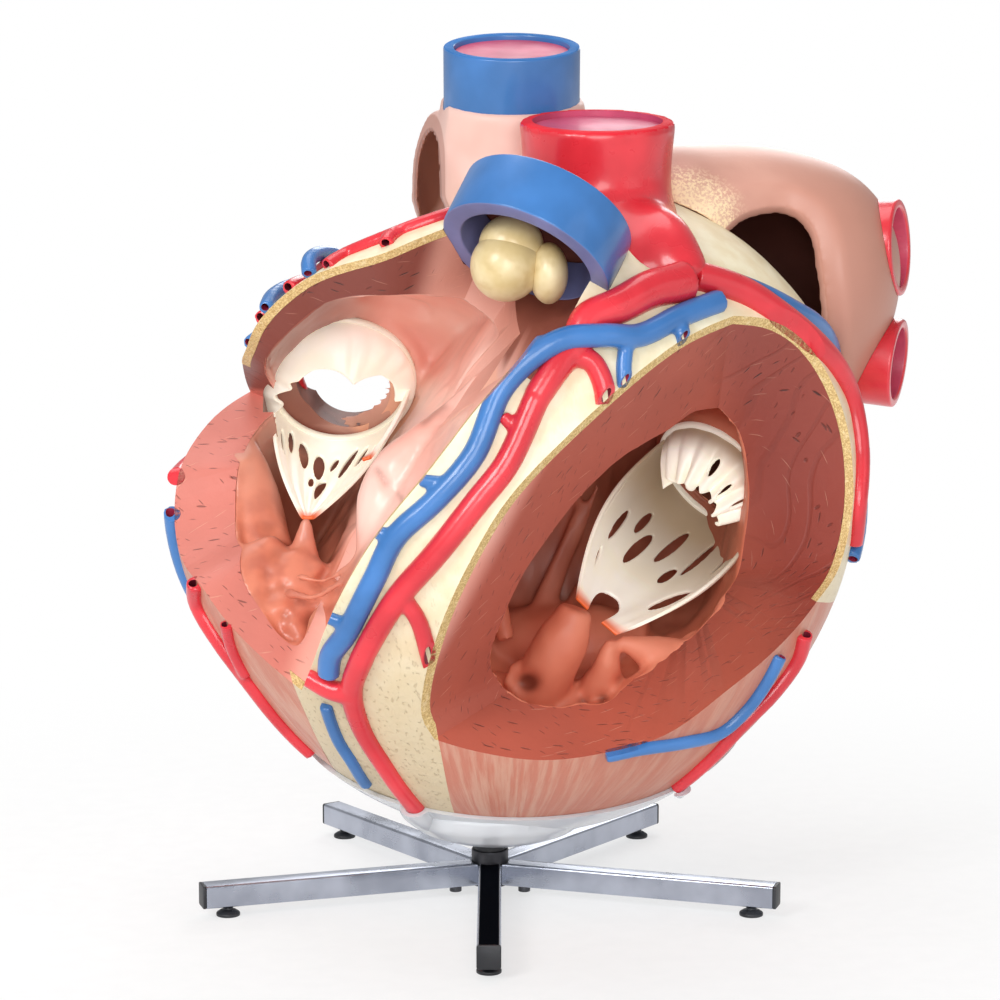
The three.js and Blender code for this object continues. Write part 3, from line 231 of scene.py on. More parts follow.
def only(*pieces):
    bpy.ops.object.select_all(action="DESELECT")
    for piece in pieces:
        piece.select_set(True)
    bpy.context.view_layer.objects.active = pieces[-1]


def named(name):
    piece = bpy.context.object
    piece.name = name
    piece.data.name = name
    return piece


def settle(piece):
    """Puts the object's turn, size and place into its mesh."""
    only(piece)
    bpy.ops.object.transform_apply(location=True, rotation=True, scale=True)
    return piece


def modify(piece, kind, **settings):
    only(piece)
    modifier = piece.modifiers.new(kind.title(), kind)
    for key, value in settings.items():
        setattr(modifier, key, value)
    bpy.ops.object.modifier_apply(modifier=modifier.name)
    return piece


def new_piece(name, vertices, edges, faces):
    mesh = bpy.data.meshes.new(name)
    mesh.from_pydata([tuple(v) for v in vertices], edges, faces)
    piece = bpy.data.objects.new(name, mesh)
    bpy.context.collection.objects.link(piece)
    return piece


def vertices_of(piece):
    co = np.empty(len(piece.data.vertices) * 3)
    piece.data.vertices.foreach_get("co", co)
    return co.reshape(-1, 3)


def move_vertices(piece, places):
    piece.data.vertices.foreach_set("co", places.ravel())
    piece.data.update()
    return piece


def points_of(piece):
    return vertices_of(piece) * 1000 - AXIS


def move_points(piece, points):
    return move_vertices(piece, metres(points))


def normals_of(piece):
    mesh = piece.data
    out = np.empty(len(mesh.vertices) * 3)
    mesh.vertex_normals.foreach_get("vector", out)
    return out.reshape(-1, 3)


def paint_with(piece, *materials):
    piece.data.materials.clear()
    for material in materials:
        piece.data.materials.append(material)
    return piece


def combine(name, pieces):
    only(*pieces)
    if len(pieces) > 1:
        bpy.ops.object.join()
    return named(name)


def carve(piece, *tools, operation="DIFFERENCE", keep=False):
    """Cuts the tools out of a piece, and leaves each tool's paint on the faces it makes."""
    for tool in tools:
        modify(
            piece, "BOOLEAN", operation=operation, object=tool, solver="MANIFOLD",
            material_mode="TRANSFER",
        )
        if not len(piece.data.vertices):
            raise RuntimeError(f"{piece.name} is empty after {operation.lower()} of {tool.name}")
        if not keep:
            bpy.data.objects.remove(tool)
    return piece


def copy_of(piece, name):
    twin = piece.copy()
    twin.data = piece.data.copy()
    twin.name = name
    bpy.context.collection.objects.link(twin)
    return twin


def finish(piece, body, *nodes, slot, angle, look=None):
    """Smooths a piece, and lets it ride on a body and stand for its nodes. Its slot is not used."""
    if look:
        paint_with(piece, paint(look))
    only(piece)
    bpy.ops.object.shade_smooth_by_angle(angle=math.radians(angle))
    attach(piece, body)
    if nodes:
        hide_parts(*nodes)


def soften(piece, voxel, rounds):
    """Melts overlapping bodies into one skin with rounded joins."""
    modify(piece, "REMESH", mode="VOXEL", voxel_size=voxel / 1000, adaptivity=0)
    return modify(piece, "SMOOTH", iterations=rounds, factor=0.5)


def ball(name, form, level, grow=0.0, relief=None):
    """A ball drawn out to a form, with grow and relief(points) added to its reach."""
    bpy.ops.mesh.primitive_ico_sphere_add(subdivisions=level, radius=1)
    piece = named(name)
    directions = unit_rows(vertices_of(piece))
    reach = form.reach(directions) + grow
    points = form.centre + directions * reach[:, None]
    if relief is not None:
        points = form.centre + directions * (reach + relief(points))[:, None]
    return move_points(piece, points)


def beside(form):
    """A body to cut with that leaves a small gap round a form."""
    return ball("beside", form, 6, GAP)


def under_skin():
    return ball("under_skin", HEART, 6, -FAT_THICKNESS - 2)


def rod(name, radius, low, high, point=(0, 0, 0), axis=(0, 0, 1), sides=64):
    """A round bar between two heights along an axis."""
    bpy.ops.mesh.primitive_cone_add(
        vertices=sides, radius1=radius / 1000, radius2=radius / 1000, depth=(high - low) / 1000
    )
    piece = named(name)
    middle = np.array(point) + unit(axis) * (low + high) / 2
    piece.rotation_euler = turn_to(axis).to_euler()
    piece.location = metres(middle)
    return settle(piece)


def half_space(name, point, normal):
    """A block of everything on the side that the normal points to."""
    bpy.ops.mesh.primitive_cube_add(size=2 * REACH / 1000)
    piece = named(name)
    piece.rotation_euler = turn_to(normal).to_euler()
    piece.location = metres(np.array(point) + unit(normal) * REACH)
    return settle(piece)


def is_ring(profile):
    """Whether a profile closes on itself, with neither end on the axis."""
    return profile[0][0] > 0 and profile[-1][0] > 0


def turned(name, profile, point=(0, 0, 0), axis=(0, 0, 1), steps=96):
    """A body turned in edit mode from a closed profile of (radius, height)."""
    chain = [(r / 1000, 0, h / 1000) for r, h in profile]
    edges = [(i, i + 1) for i in range(len(chain) - 1)]
    if is_ring(profile):
        edges.append((len(chain) - 1, 0))
    piece = new_piece(name, chain, edges, [])
    only(piece)
    bpy.ops.object.mode_set(mode="EDIT")
    bpy.ops.mesh.select_all(action="SELECT")
    bpy.ops.mesh.spin(steps=steps, angle=2 * math.pi, center=(0, 0, 0), axis=(0, 0, 1))
    bpy.ops.mesh.select_all(action="SELECT")
    bpy.ops.mesh.remove_doubles(threshold=1e-6)
    bpy.ops.mesh.normals_make_consistent(inside=False)
    bpy.ops.object.mode_set(mode="OBJECT")
    piece.rotation_euler = turn_to(axis).to_euler()
    piece.location = metres(point)
    return settle(piece)


CORNER_PARTS = 4


def rounded(profile, radius):
    """The same profile with its corners rounded, but not the ends on the axis."""
    points = [np.array(p, float) for p in profile]
    closed = is_ring(profile)
    made = []
    for i, p in enumerate(points):
        if not closed and i in (0, len(points) - 1):
            made.append(tuple(p))
            continue
        a, b = points[i - 1], points[(i + 1) % len(points)]
        cut = min(radius, np.linalg.norm(a - p) * 0.45, np.linalg.norm(b - p) * 0.45)
        start, end = p + unit(a - p) * cut, p + unit(b - p) * cut
        for k in range(CORNER_PARTS + 1):
            t = k / CORNER_PARTS
            made.append(tuple((1 - t) ** 2 * start + 2 * t * (1 - t) * p + t**2 * end))
    return made


def shell_of(name, rings):
    """A closed skin over rings of points that all have the same count."""
    count = len(rings[0])
    faces = []
    for i in range(len(rings) - 1):
        for k in range(count):
            n = (k + 1) % count
            faces.append((i * count + k, i * count + n, (i + 1) * count + n, (i + 1) * count + k))
    faces += [tuple(range(count))[::-1], tuple((len(rings) - 1) * count + k for k in range(count))]
    return outward(new_piece(name, metres(np.concatenate(rings)), [], faces))


def outward(piece):
    only(piece)
    bpy.ops.object.mode_set(mode="EDIT")
    bpy.ops.mesh.select_all(action="SELECT")
    bpy.ops.mesh.normals_make_consistent(inside=False)
    bpy.ops.object.mode_set(mode="OBJECT")
    return piece


def hose(name, points, radii, sides=20):
    """A round bar with closed ends along points, through the given radii from end to end."""
    points = np.asarray(points, float)
    count = len(points)
    ahead = np.vstack([points[1:], points[-1:]]) - np.vstack([points[:1], points[:-1]])
    rings = []
    for i in range(count):
        along = unit(ahead[i])
        lift = points[i] - HEART.centre
        side = np.cross(along, lift)
        side = unit(side if np.linalg.norm(side) > 1e-6 else np.cross(along, [1, 0, 0.3]))
        out = np.cross(side, along)
        t = i / (count - 1)
        radius = radii[0] * (1 - t) + radii[-1] * t if len(radii) < 3 else np.interp(
            t, np.linspace(0, 1, len(radii)), radii
        )
        angles = (np.arange(sides) + 0.5) / sides * 2 * math.pi
        across = np.outer(np.cos(angles), side) * radius
        rings.append(points[i] + across + np.outer(np.sin(angles), out) * radius)
    return shell_of(name, rings)


def ripple(points, size, seed=0.0):
    """Smooth noise from -1 to 1 over points, with features of that size in millimetres."""
    scaled = np.asarray(points) / size + seed
    return np.array([noise.fractal(Vector(p), 1.0, 2.0, 2) for p in scaled])


def ridges(points, size, seed=0.0):
    """Noise from 0 to 1 whose crests are narrow and whose hollows are wide."""
    scaled = np.asarray(points) / size + seed
    return 1 - np.abs(np.array([noise.noise(Vector(p)) for p in scaled])) * 2


def fade(x, low, high):
    t = np.clip((x - low) / (high - low), 0, 1)
    return t * t * (3 - 2 * t)


# Paint


class Signal:
    """A value or colour on its way through a material's nodes."""

    def __init__(self, look, socket):
        self.look = look
        self.socket = socket

    def _math(self, operation, a, b=0.0):
        return self.look.node("Math", {0: a, 1: b}, operation=operation)

    def __add__(self, other):
        return self._math("ADD", self, other)

    def __rsub__(self, other):
        return self._math("SUBTRACT", other, self)

    def __sub__(self, other):
        return self._math("SUBTRACT", self, other)

    def __mul__(self, other):
        return self._math("MULTIPLY", self, other)

    def __abs__(self):
        return self._math("ABSOLUTE", self)

    __radd__ = __add__
    __rmul__ = __mul__


class Look:
    """A material, and the one way in which its nodes are added."""

    def __init__(self, name, **shader):
        self.material = bpy.data.materials.new(name)
        self.material.use_nodes = True
        self.tree = self.material.node_tree
        self.tree.nodes.clear()
        self.output = self.tree.nodes.new("ShaderNodeOutputMaterial")
        made = self.node("BsdfPrincipled", {k.replace("_", " "): v for k, v in shader.items()})
        self.shader = made.socket.node
        self.tree.links.new(made.socket, self.output.inputs["Surface"])
        self.place = self.node("TexCoord", output="Object")

    def node(self, kind, sockets=None, output=0, **settings):
        made = self.tree.nodes.new("ShaderNode" + kind)
        for key, value in settings.items():
            setattr(made, key, value)
        for key, value in (sockets or {}).items():
            if isinstance(value, Signal):
                self.tree.links.new(value.socket, made.inputs[key])
            elif isinstance(value, tuple) and len(value) == 3 and made.inputs[key].type == "RGBA":
                made.inputs[key].default_value = (*value, 1)
            else:
                made.inputs[key].default_value = value
        return Signal(self, made.outputs[output])

    def feed(self, **sockets):
        for key, value in sockets.items():
            self.tree.links.new(value.socket, self.shader.inputs[key.replace("_", " ")])
        return self.material

    def stretched(self, scale, turn=(0, 0, 0), vector=None):
        return self.node(
            "Mapping", {"Vector": vector or self.place, "Scale": scale, "Rotation": turn}
        )

    def noise(self, scale, detail=2.0, roughness=0.5, vector=None, distortion=0.0):
        return self.node(
            "TexNoise",
            {"Vector": vector or self.place, "Scale": scale, "Detail": detail,
             "Roughness": roughness, "Distortion": distortion},
        )

    def step(self, value, low, high):
        return self.node(
            "MapRange", {"Value": value, "From Min": low, "From Max": high},
            interpolation_type="SMOOTHSTEP", clamp=True,
        )

    def mix(self, share, a, b):
        return self.node("Mix", {0: share, 6: a, 7: b}, 2, data_type="RGBA")

    def tones(self, value, low, high, first, last):
        """One screen colour where a value is low, flowing to another where it is high."""
        return self.mix(self.step(value, low, high), tint(*first), tint(*last))

    def vector(self, operation, *inputs, output=0):
        return self.node("VectorMath", dict(enumerate(inputs)), output, operation=operation)

    def near(self, point, inner, outer):
        """1 within inner millimetres of a point, 0 past outer."""
        away = self.vector("DISTANCE", self.place, tuple(metres(point)), output="Value")
        return self.step(away, outer / 1000, inner / 1000)

    def side(self, point, normal, soft):
        """0 behind a plane and 1 in front of it, over a soft distance in millimetres."""
        offset = self.vector("SUBTRACT", self.place, tuple(metres(point)))
        along = self.vector("DOT_PRODUCT", offset, tuple(unit(normal)), output="Value")
        return self.step(along, -soft / 2000, soft / 2000)

    def dashes(self, spacing, length, width, turn):
        """Short strokes along the turned X axis: 1 on a stroke, 0 beside it."""
        wobble = self.node("TexNoise", {"Vector": self.place, "Scale": 1000 / spacing / 2.5}, "Color")
        moved = self.vector("MULTIPLY", wobble, (0.15 * spacing / 1000,) * 3)
        grid = self.stretched((1000 / spacing,) * 3, turn, self.vector("ADD", moved, self.place))
        cells = self.node("TexVoronoi", {"Vector": grid, "Scale": 1.0, "Randomness": 1.0}, "Position")
        shape = (spacing / length, spacing / width, spacing / length)
        offset = self.vector("MULTIPLY", self.vector("SUBTRACT", grid, cells), shape)
        return self.step(self.vector("LENGTH", offset, output="Value"), 0.62, 0.38)

    def bump(self, height, distance, strength):
        return self.node("Bump", {"Height": height, "Distance": distance / 1000, "Strength": strength})

    def attribute(self, name):
        return self.node("Attribute", output="Fac", attribute_name=name)


def gloss_paint(name, colour, rough=0.3, coat=0.35, mottle=0.12, gloss=0.5):
    """Brushed gloss paint: slow changes of tone, faint orange peel and dulled patches."""
    look = Look(name, Coat_Roughness=0.12, Coat_Weight=coat, Specular_IOR_Level=gloss)
    slow = look.noise(9, 3)
    fine = look.noise(160, 2)
    dark = tuple(c * (1 - mottle * 1.6) for c in colour)
    light = tuple(min(1, c * (1 + mottle) + 0.012) for c in colour)
    base = look.mix(look.step(slow, 0.3, 0.72), dark, light)
    return look.feed(
        Base_Color=base, Roughness=look.step(look.noise(22, 3), 0.2, 0.9) * 0.16 + (rough - 0.06),
        Normal=look.bump(fine + slow * 2, 0.6, 0.25),
    )


CONUS = [34, -200, 842]


def look_fat():
    """Cream paint over lumpy modelled fat, with pinholes where it thickens low down."""
    look = Look("fat_paint", Coat_Weight=0.12, Coat_Roughness=0.3)
    worms = look.noise(95, 2, 0.6, look.stretched((1, 1, 0.5)), 1.2)
    lumps = look.noise(34, 3)
    low = look.side([0, 0, 420], [0, 0, -1], 260)
    pits = look.step(look.noise(210, 1, vector=look.stretched((1, 1, 0.45))), 0.62, 0.7) * low
    base = look.tones(lumps, 0.3, 0.75, (238, 222, 184), (248, 238, 208))
    base = look.mix(low * 0.75, base, tint(202, 182, 148))
    base = look.mix(pits * 0.3, base, tint(150, 120, 78))
    height = worms * (0.35 + low * 0.9) + lumps * 0.5 - pits * 0.8
    return look.feed(
        Base_Color=base, Roughness=look.step(lumps, 0.2, 0.9) * 0.15 + 0.38,
        Normal=look.bump(height, 2.2, 0.55),
    )


def look_fat_cut():
    """The cut rim of the fat: granular and tan."""
    look = Look("fat_cut_paint", Coat_Weight=0.05)
    grain = look.noise(420, 3, 0.7)
    clots = look.noise(120, 2)
    base = look.tones(grain, 0.35, 0.68, (192, 158, 98), (240, 214, 152))
    base = look.mix(look.step(clots, 0.55, 0.75) * 0.5, base, tint(250, 232, 186))
    return look.feed(
        Base_Color=base, Roughness=0.45 + grain * 0.2, Normal=look.bump(grain + clots, 1.6, 0.8)
    )


def look_muscle_cut():
    """Cut muscle: brown-red, with short cracks, scratches and, on the right facets, swirls. Painted
    shade darkens the right facets and the cut round the outflow; the upper facets are a darker paint
    with painted shade on it.
    """
    look = Look("muscle_cut_paint", Coat_Weight=0.08, Coat_Roughness=0.3)
    slow = look.noise(6, 3)
    cracks = look.dashes(26, 14, 1.5, (0, math.radians(86), 0))
    nicks = look.dashes(17, 9, 1.1, (0, math.radians(20), math.radians(30)))
    scratch = look.dashes(30, 20, 0.7, (0, math.radians(38), math.radians(-20)))
    left = look.side([10, 0, 530], [-0.886, 0, 0.462], 40)
    septum = look.side([-132, 0, 655], [0.946, 0, -0.326], 50) * left
    upper = look.side([-290, -100, 664], [0, 0, 1], 10)
    right = look.side([330, 0, 560], unit([1, 0, 0.25]), 90)
    low = look.side([150, 0, 290], [0, 0, -1], 160)
    # Painted shade: the right facets are darker.
    base = look.mix(right, tint(172, 84, 66), tint(146, 64, 52))
    base = look.mix(low * (1 - left), base, tint(190, 94, 74))
    # The upper facets: darker paint, with painted shade on top of it.
    base = look.mix(left, base, look.mix(upper, tint(212, 124, 110), tint(126, 64, 54)))
    base = look.mix(look.step(slow, 0.3, 0.7) * 0.22, base, tint(120, 55, 45))
    cracks = cracks * (1 - septum)
    nicks = nicks * (1 - septum)
    pink = look.tones(slow, 0.3, 0.7, (240, 172, 154), (250, 198, 182))
    base = look.mix(septum, base, pink)
    # Painted shade on the cut round the outflow.
    base = look.mix(look.near(CONUS, 75, 190) * septum * 0.85, base, tint(180, 114, 96))
    base = look.mix(cracks * (0.55 + upper * 0.35), base, tint(58, 24, 20))
    base = look.mix(nicks * 0.5, base, tint(84, 36, 30))
    base = look.mix(scratch * 0.35, base, tint(238, 178, 150))
    whorl = look.node(
        "TexWave",
        {"Vector": look.stretched((1, 1, 1), (0, 0.9, 0.4)), "Scale": 9.0, "Distortion": 14.0,
         "Detail": 1.0, "Detail Scale": 0.7},
        "Fac", wave_type="RINGS",
    )
    grooves = look.step(whorl, 0.12, 0.0) * right * 0.5
    base = look.mix(grooves * 0.35, base, tint(100, 40, 34))
    height = look.noise(70, 3) * 0.5 - cracks * 1.4 - nicks - grooves * 1.2 + scratch * 0.3
    return look.feed(
        Base_Color=base, Roughness=look.step(slow, 0.2, 0.8) * 0.15 + 0.42,
        Normal=look.bump(height, 1.8, 0.6),
    )


def look_muscle_skin():
    """Outside of the muscle: salmon and cream brushed in streaks that run to the tip."""
    look = Look("muscle_skin_paint", Coat_Weight=0.15, Coat_Roughness=0.25)
    offset = look.vector("SUBTRACT", look.place, tuple(metres([20, 0, 0])))
    level = look.vector("NORMALIZE", look.vector("MULTIPLY", offset, (1, 1, 0)))
    spokes = look.vector("ADD", level, look.vector("MULTIPLY", offset, (0, 0, 0.5)))
    streaks = look.noise(24, 4, 0.65, spokes)
    wide = look.noise(5, 2, 0.5, look.stretched((1, 1, 0.35)))
    base = look.tones(streaks, 0.38, 0.64, (198, 122, 100), (208, 154, 132))
    base = look.mix(look.step(wide, 0.4, 0.7) * 0.5, base, tint(190, 122, 102))
    fine = look.noise(60, 2, 0.5, look.stretched((1, 1, 0.15)))
    return look.feed(
        Base_Color=base, Roughness=look.step(wide, 0.2, 0.8) * 0.14 + 0.38,
        Normal=look.bump(streaks * 1.6 + fine * 0.5, 2.0, 0.6),
    )


def look_lining():
    """Lining of the ventricles: salmon, with painted light on the crests and painted shade in the
    hollows, low on the left, at the back, at the crown and round the outflow.
    """
    look = Look("lining_paint", Coat_Weight=0.3, Coat_Roughness=0.2)
    deep = look.attribute("relief")
    slow = look.noise(7, 3)
    left = look.side([-10, 0, 500], unit([1, 0, -0.3]), 60)
    low_left_shade = look.side([-255, 0, 560], [-0.8, 0, -0.6], 150)
    base = look.tones(slow, 0.3, 0.7, (244, 180, 164), (252, 208, 194))
    # Painted shade: darker low on the left side of the right chamber.
    base = look.mix(low_left_shade * 0.8, base, tint(232, 148, 112))
    floor = look.side([-215, 0, 505], [-0.5, 0, -0.86], 110)
    patches = look.step(look.noise(26, 2), 0.35, 0.65)
    base = look.mix(floor * 0.85, base, look.mix(patches, tint(186, 96, 74), tint(216, 124, 96)))
    ruddy = look.tones(slow, 0.3, 0.7, (212, 116, 88), (232, 142, 112))
    base = look.mix(left, base, ruddy)
    back = look.mix(
        left, look.side([0, 20, 0], [0, 1, 0], 150) * look.side([0, 0, 640], [0, 0, -1], 90),
        look.side([0, 46, 0], [0, 1, 0], 90) * look.side([0, 0, 640], [0, 0, -1], 60),
    )
    # Painted shade at the back of both chambers.
    base = look.mix(back * 0.75, base, tint(128, 66, 48))
    crown = look.side([-170, 0, 0], [-1, 0, 0], 90) * look.side([0, 0, 690], [0, 0, 1], 60)
    # Painted shade at the crown of the right chamber.
    base = look.mix(crown, base, tint(146, 80, 68))
    # Painted shade round the outflow.
    base = look.mix(look.near(CONUS, 75, 190) * 0.85, base, tint(180, 114, 96))
    # Painted shade in the hollows of the relief, and painted light on its crests.
    base = look.mix(look.step(deep, 0.0, 12.0) * 0.85, base, tint(120, 56, 40))
    base = look.mix(look.step(deep, 0.0, -7.0) * 0.6, base, tint(240, 172, 140))
    fine = look.noise(90, 3)
    return look.feed(
        Base_Color=base, Roughness=look.step(slow, 0.2, 0.8) * 0.14 + left * 0.2 + 0.32,
        Coat_Weight=0.3 - left * 0.2, Normal=look.bump(fine * 0.4 + slow, 1.2, 0.35),
    )


def look_bore():
    """The brown wall of the ways between the chambers, with dark flecks."""
    look = Look("bore_paint", Coat_Weight=0.05, Specular_IOR_Level=0.2)
    flecks = look.dashes(18, 9, 1.6, (0, 0.6, 0.5))
    slow = look.noise(20, 3)
    base = look.tones(slow, 0.3, 0.7, (100, 52, 40), (128, 72, 56))
    base = look.mix(flecks * 0.7, base, tint(62, 26, 22))
    return look.feed(
        Base_Color=base, Roughness=0.5 + slow * 0.1, Normal=look.bump(slow - flecks, 1.4, 0.5)
    )


def look_valve():
    """Ivory valve tissue with painted shade where its shade attribute says, burnt orange where strings
    meet muscle, and a faint painted glow that lifts it.
    """
    # A faint emission of the base colour is painted glow that brightens the ivory.
    look = Look("valve_paint", Coat_Weight=0.25, Coat_Roughness=0.2, Emission_Strength=0.22)
    slow = look.noise(14, 3)
    base = look.tones(slow, 0.3, 0.75, (250, 246, 226), (255, 253, 242))
    # Painted shade from the shade attribute.
    base = look.mix(look.attribute("shade"), base, tint(134, 104, 68))
    base = look.mix(look.attribute("tip"), base, tint(222, 96, 36))
    strands = look.noise(120, 2, 0.5, look.stretched((1, 1, 0.3)))
    return look.feed(
        Base_Color=base, Emission_Color=base, Roughness=look.step(slow, 0.2, 0.8) * 0.14 + 0.3,
        Normal=look.bump(strands * 0.5 + slow, 1.0, 0.3),
    )


def look_cusp():
    look = Look("cusp_paint", Coat_Weight=0.35, Coat_Roughness=0.2)
    slow = look.noise(18, 3)
    base = look.tones(slow, 0.3, 0.7, (206, 180, 124), (232, 214, 170))
    base = look.mix(look.step(look.noise(60, 2), 0.5, 0.8) * 0.3, base, tint(180, 148, 92))
    return look.feed(
        Base_Color=base, Roughness=look.step(slow, 0.2, 0.8) * 0.12 + 0.3,
        Normal=look.bump(slow + look.noise(70, 2) * 0.3, 1.4, 0.3),
    )


def look_atrium():
    """Atrium wall: pink outside with cream sprayed over its edges, brown inside; painted shade browns
    the left atrium's outside and darkens the cut rims.
    """
    look = Look("atrium_paint", Coat_Weight=0.14, Coat_Roughness=0.3)
    slow = look.noise(7, 3)
    deep = look.attribute("depth")
    outside = look.tones(slow, 0.3, 0.7, (222, 176, 164), (236, 196, 184))
    # Painted shade: the left atrium's outside browner, and darker still on its right side below.
    shaded_outside = look.tones(slow, 0.3, 0.7, (204, 146, 128), (220, 166, 148))
    outside = look.mix(look.side([170, 0, 800], [1, 0, 0], 120), outside, shaded_outside)
    outside = look.mix(look.side([350, 0, 780], [1, 0, -0.3], 160) * 0.8, outside, tint(184, 128, 110))
    speckle = look.step(look.noise(240, 3, 0.7), 0.42, 0.62)
    cream = look.near([238, -40, 880], 60, 160)
    outside = look.mix(look.step(cream * (0.6 + speckle * 0.7), 0.2, 0.9), outside, tint(252, 226, 186))
    inside = look.tones(slow, 0.3, 0.7, (92, 44, 34), (116, 62, 50))
    inside = look.mix(look.side([160, 0, 0], [-1, 0, 0], 60) * 0.75, inside, tint(176, 116, 98))
    # The cut rim is darker with painted shade.
    rim = look.tones(slow, 0.35, 0.7, (196, 142, 126), (208, 156, 142))
    base = look.mix(look.step(deep, 1.5, 3.5), outside, rim)
    base = look.mix(look.step(deep, 16.0, 19.0), base, inside)
    fine = look.noise(120, 3)
    return look.feed(
        Base_Color=base, Roughness=look.step(slow, 0.2, 0.8) * 0.12 + 0.4,
        Normal=look.bump(fine * 0.4 + slow, 1.0, 0.3),
    )


def look_clear():
    look = Look(
        "clear_plastic", Transmission_Weight=0.32, IOR=1.46, Coat_Weight=0.2,
        Base_Color=(0.9, 0.93, 0.97, 1),
    )
    slow = look.noise(12, 3)
    return look.feed(
        Roughness=look.step(slow, 0.2, 0.8) * 0.1 + 0.14,
        Normal=look.bump(slow + look.noise(60, 2) * 0.2, 1.5, 0.3),
    )


def look_chrome():
    """Brushed chromed tube with fine lengthwise lines and a few dull smears."""
    look = Look("chrome", Metallic=1.0)
    lines = look.noise(500, 2, 0.6, look.stretched((0.05, 0.05, 1)))
    smear = look.noise(14, 3)
    base = look.tones(smear, 0.3, 0.75, (158, 163, 176), (190, 195, 208))
    return look.feed(
        Base_Color=base, Roughness=look.step(smear, 0.3, 0.8) * 0.14 + 0.2 + lines * 0.05,
        Normal=look.bump(lines, 0.15, 0.25),
    )


def look_front_chrome():
    """The tube that points at the viewer: its flats are painted near black as a painted reflection of a
    dark room, with no shine of their own; its edges stay bright.
    """
    look = Look("front_chrome", Specular_IOR_Level=0.0)
    lines = look.noise(500, 2, 0.6, look.stretched((1, 0.05, 1)))
    across = look.node("SeparateXYZ", {0: look.place}, "X")
    edge = look.step(abs(across - float(AXIS[0] / 1000)), 0.0118, 0.0136)
    # Painted reflection: the flats near black, the edges bright metal.
    base = look.mix(edge, tint(12, 14, 19), tint(200, 204, 214))
    return look.feed(
        Base_Color=base, Metallic=edge, Roughness=lines * 0.1 + 0.16,
        Normal=look.bump(lines, 0.15, 0.2),
    )


def look_grey_metal():
    look = Look("grey_metal", Metallic=0.9)
    wear = look.noise(40, 3)
    base = look.tones(wear, 0.35, 0.7, (62, 62, 66), (92, 92, 96))
    return look.feed(
        Base_Color=base, Roughness=look.step(wear, 0.2, 0.8) * 0.2 + 0.34,
        Normal=look.bump(look.noise(300, 2), 0.3, 0.3),
    )


def look_black_plastic():
    look = Look("black_plastic")
    grain = look.noise(700, 2)
    wear = look.noise(18, 3)
    base = look.tones(wear, 0.4, 0.8, (26, 27, 32), (52, 54, 60))
    return look.feed(
        Base_Color=base, Roughness=look.step(wear, 0.2, 0.8) * 0.2 + 0.36,
        Normal=look.bump(grain, 0.3, 0.4),
    )


# Name: colour or the property that holds it, roughness, coat, mottle and gloss
GLOSS_LOOKS = {
    "artery": ("artery", 0.3),
    "vein": ("vein", 0.34),
    "artery_end": ("artery", 0.7, 0, 0.12, 0.08),
    "vein_end": ("vein", 0.7, 0, 0.12, 0.08),
    "artery_bore": (tint(120, 18, 42), 0.5, 0.1, 0.3),
    "vein_bore": (tint(150, 25, 60), 0.5, 0.1, 0.3),
    "great_bore": (tint(205, 70, 100), 0.45, 0.1, 0.15),
    "disc": (tint(196, 72, 108), 0.5, 0.06, 0.16, 0.3),
    "trunk_cut": (tint(110, 116, 164), 0.5, 0.05, 0.15),
}
OTHER_LOOKS = {
    "fat": look_fat, "fat_cut": look_fat_cut, "muscle_cut": look_muscle_cut,
    "muscle_skin": look_muscle_skin, "lining": look_lining, "bore": look_bore, "valve": look_valve,
    "cusp": look_cusp, "atrium": look_atrium, "clear": look_clear, "chrome": look_chrome,
    "front_chrome": look_front_chrome, "grey_metal": look_grey_metal,
    "black_plastic": look_black_plastic,
}
MADE_LOOKS = {}


def paint(name):
    """The named finish, made when it is first asked for."""
    if name not in MADE_LOOKS and name in GLOSS_LOOKS:
        colour, *rest = GLOSS_LOOKS[name]
        if isinstance(colour, str):
            colour = tuple(getattr(bpy.context.scene.heart_paint, colour))
        MADE_LOOKS[name] = gloss_paint(name + "_paint", colour, *rest)
    elif name not in MADE_LOOKS:
        MADE_LOOKS[name] = OTHER_LOOKS[name]()
    return MADE_LOOKS[name]


# Cutting tools shared by several pieces


def window(side, look):
    """The wedge that opens a chamber: its walls run from an eye inside through an outline."""
    eye, outline, corners = WINDOWS[side]
    places = [on_skin(place) for place in outline]
    ring = []
    for start, end in zip(corners, corners[1:] + (corners[0] + len(places),)):
        run = [places[i % len(places)] for i in range(start, end + 1)]
        ring.extend(curve_through(run, 16)[:-1])
    directions = unit_rows(np.array(ring) - HEART.centre)
    origin = np.array(eye, float)
    far = (HEART.centre + directions * HEART.reach(directions)[:, None] - origin) * 1.9 + origin
    crown = (far.mean(axis=0) - origin) * 1.3 + origin
    count = len(far)
    faces = [(count, k, (k + 1) % count) for k in range(count)]
    faces += [(count + 1, (k + 1) % count, k) for k in range(count)]
    piece = new_piece(side + "_window", metres(np.vstack([far, origin, crown])), [], faces)
    return paint_with(outward(piece), paint(look))


def windows(look):
    return [window(side, look) for side in WINDOWS]


FRONT_FAT = [
    (240, 905), (88, 850), (-45, 690), (-165, 530), (-255, 350), (-240, 300), (-228, 262),
    (-205, 190), (-185, 130), (-160, 60), (-30, 60), (-50, 165), (-61, 245), (-70, 300),
    (40, 470), (150, 640), (300, 800),
]
BACK_FAT = [(-40, 700), (-40, 560), (25, 150), (95, 150), (70, 560), (70, 700)]


def slab(name, outline, low, high):
    return shell_of(name, [np.array([(x, y, z) for x, z in outline], float) for y in (low, high)])


def fat_region():
    """The space that the fat fills: over the base and down the grooves."""
    return carve(
        half_space("fat_region", [30, 330, 560], [0.365, 0.016, 0.931]),
        slab("front", FRONT_FAT, -600, -20), slab("back", BACK_FAT, 20, 600), operation="UNION",
    )


def valve_rod(name, valve, radius, low, high):
    return rod(name, radius, low, high, valve["at"], valve["axis"])


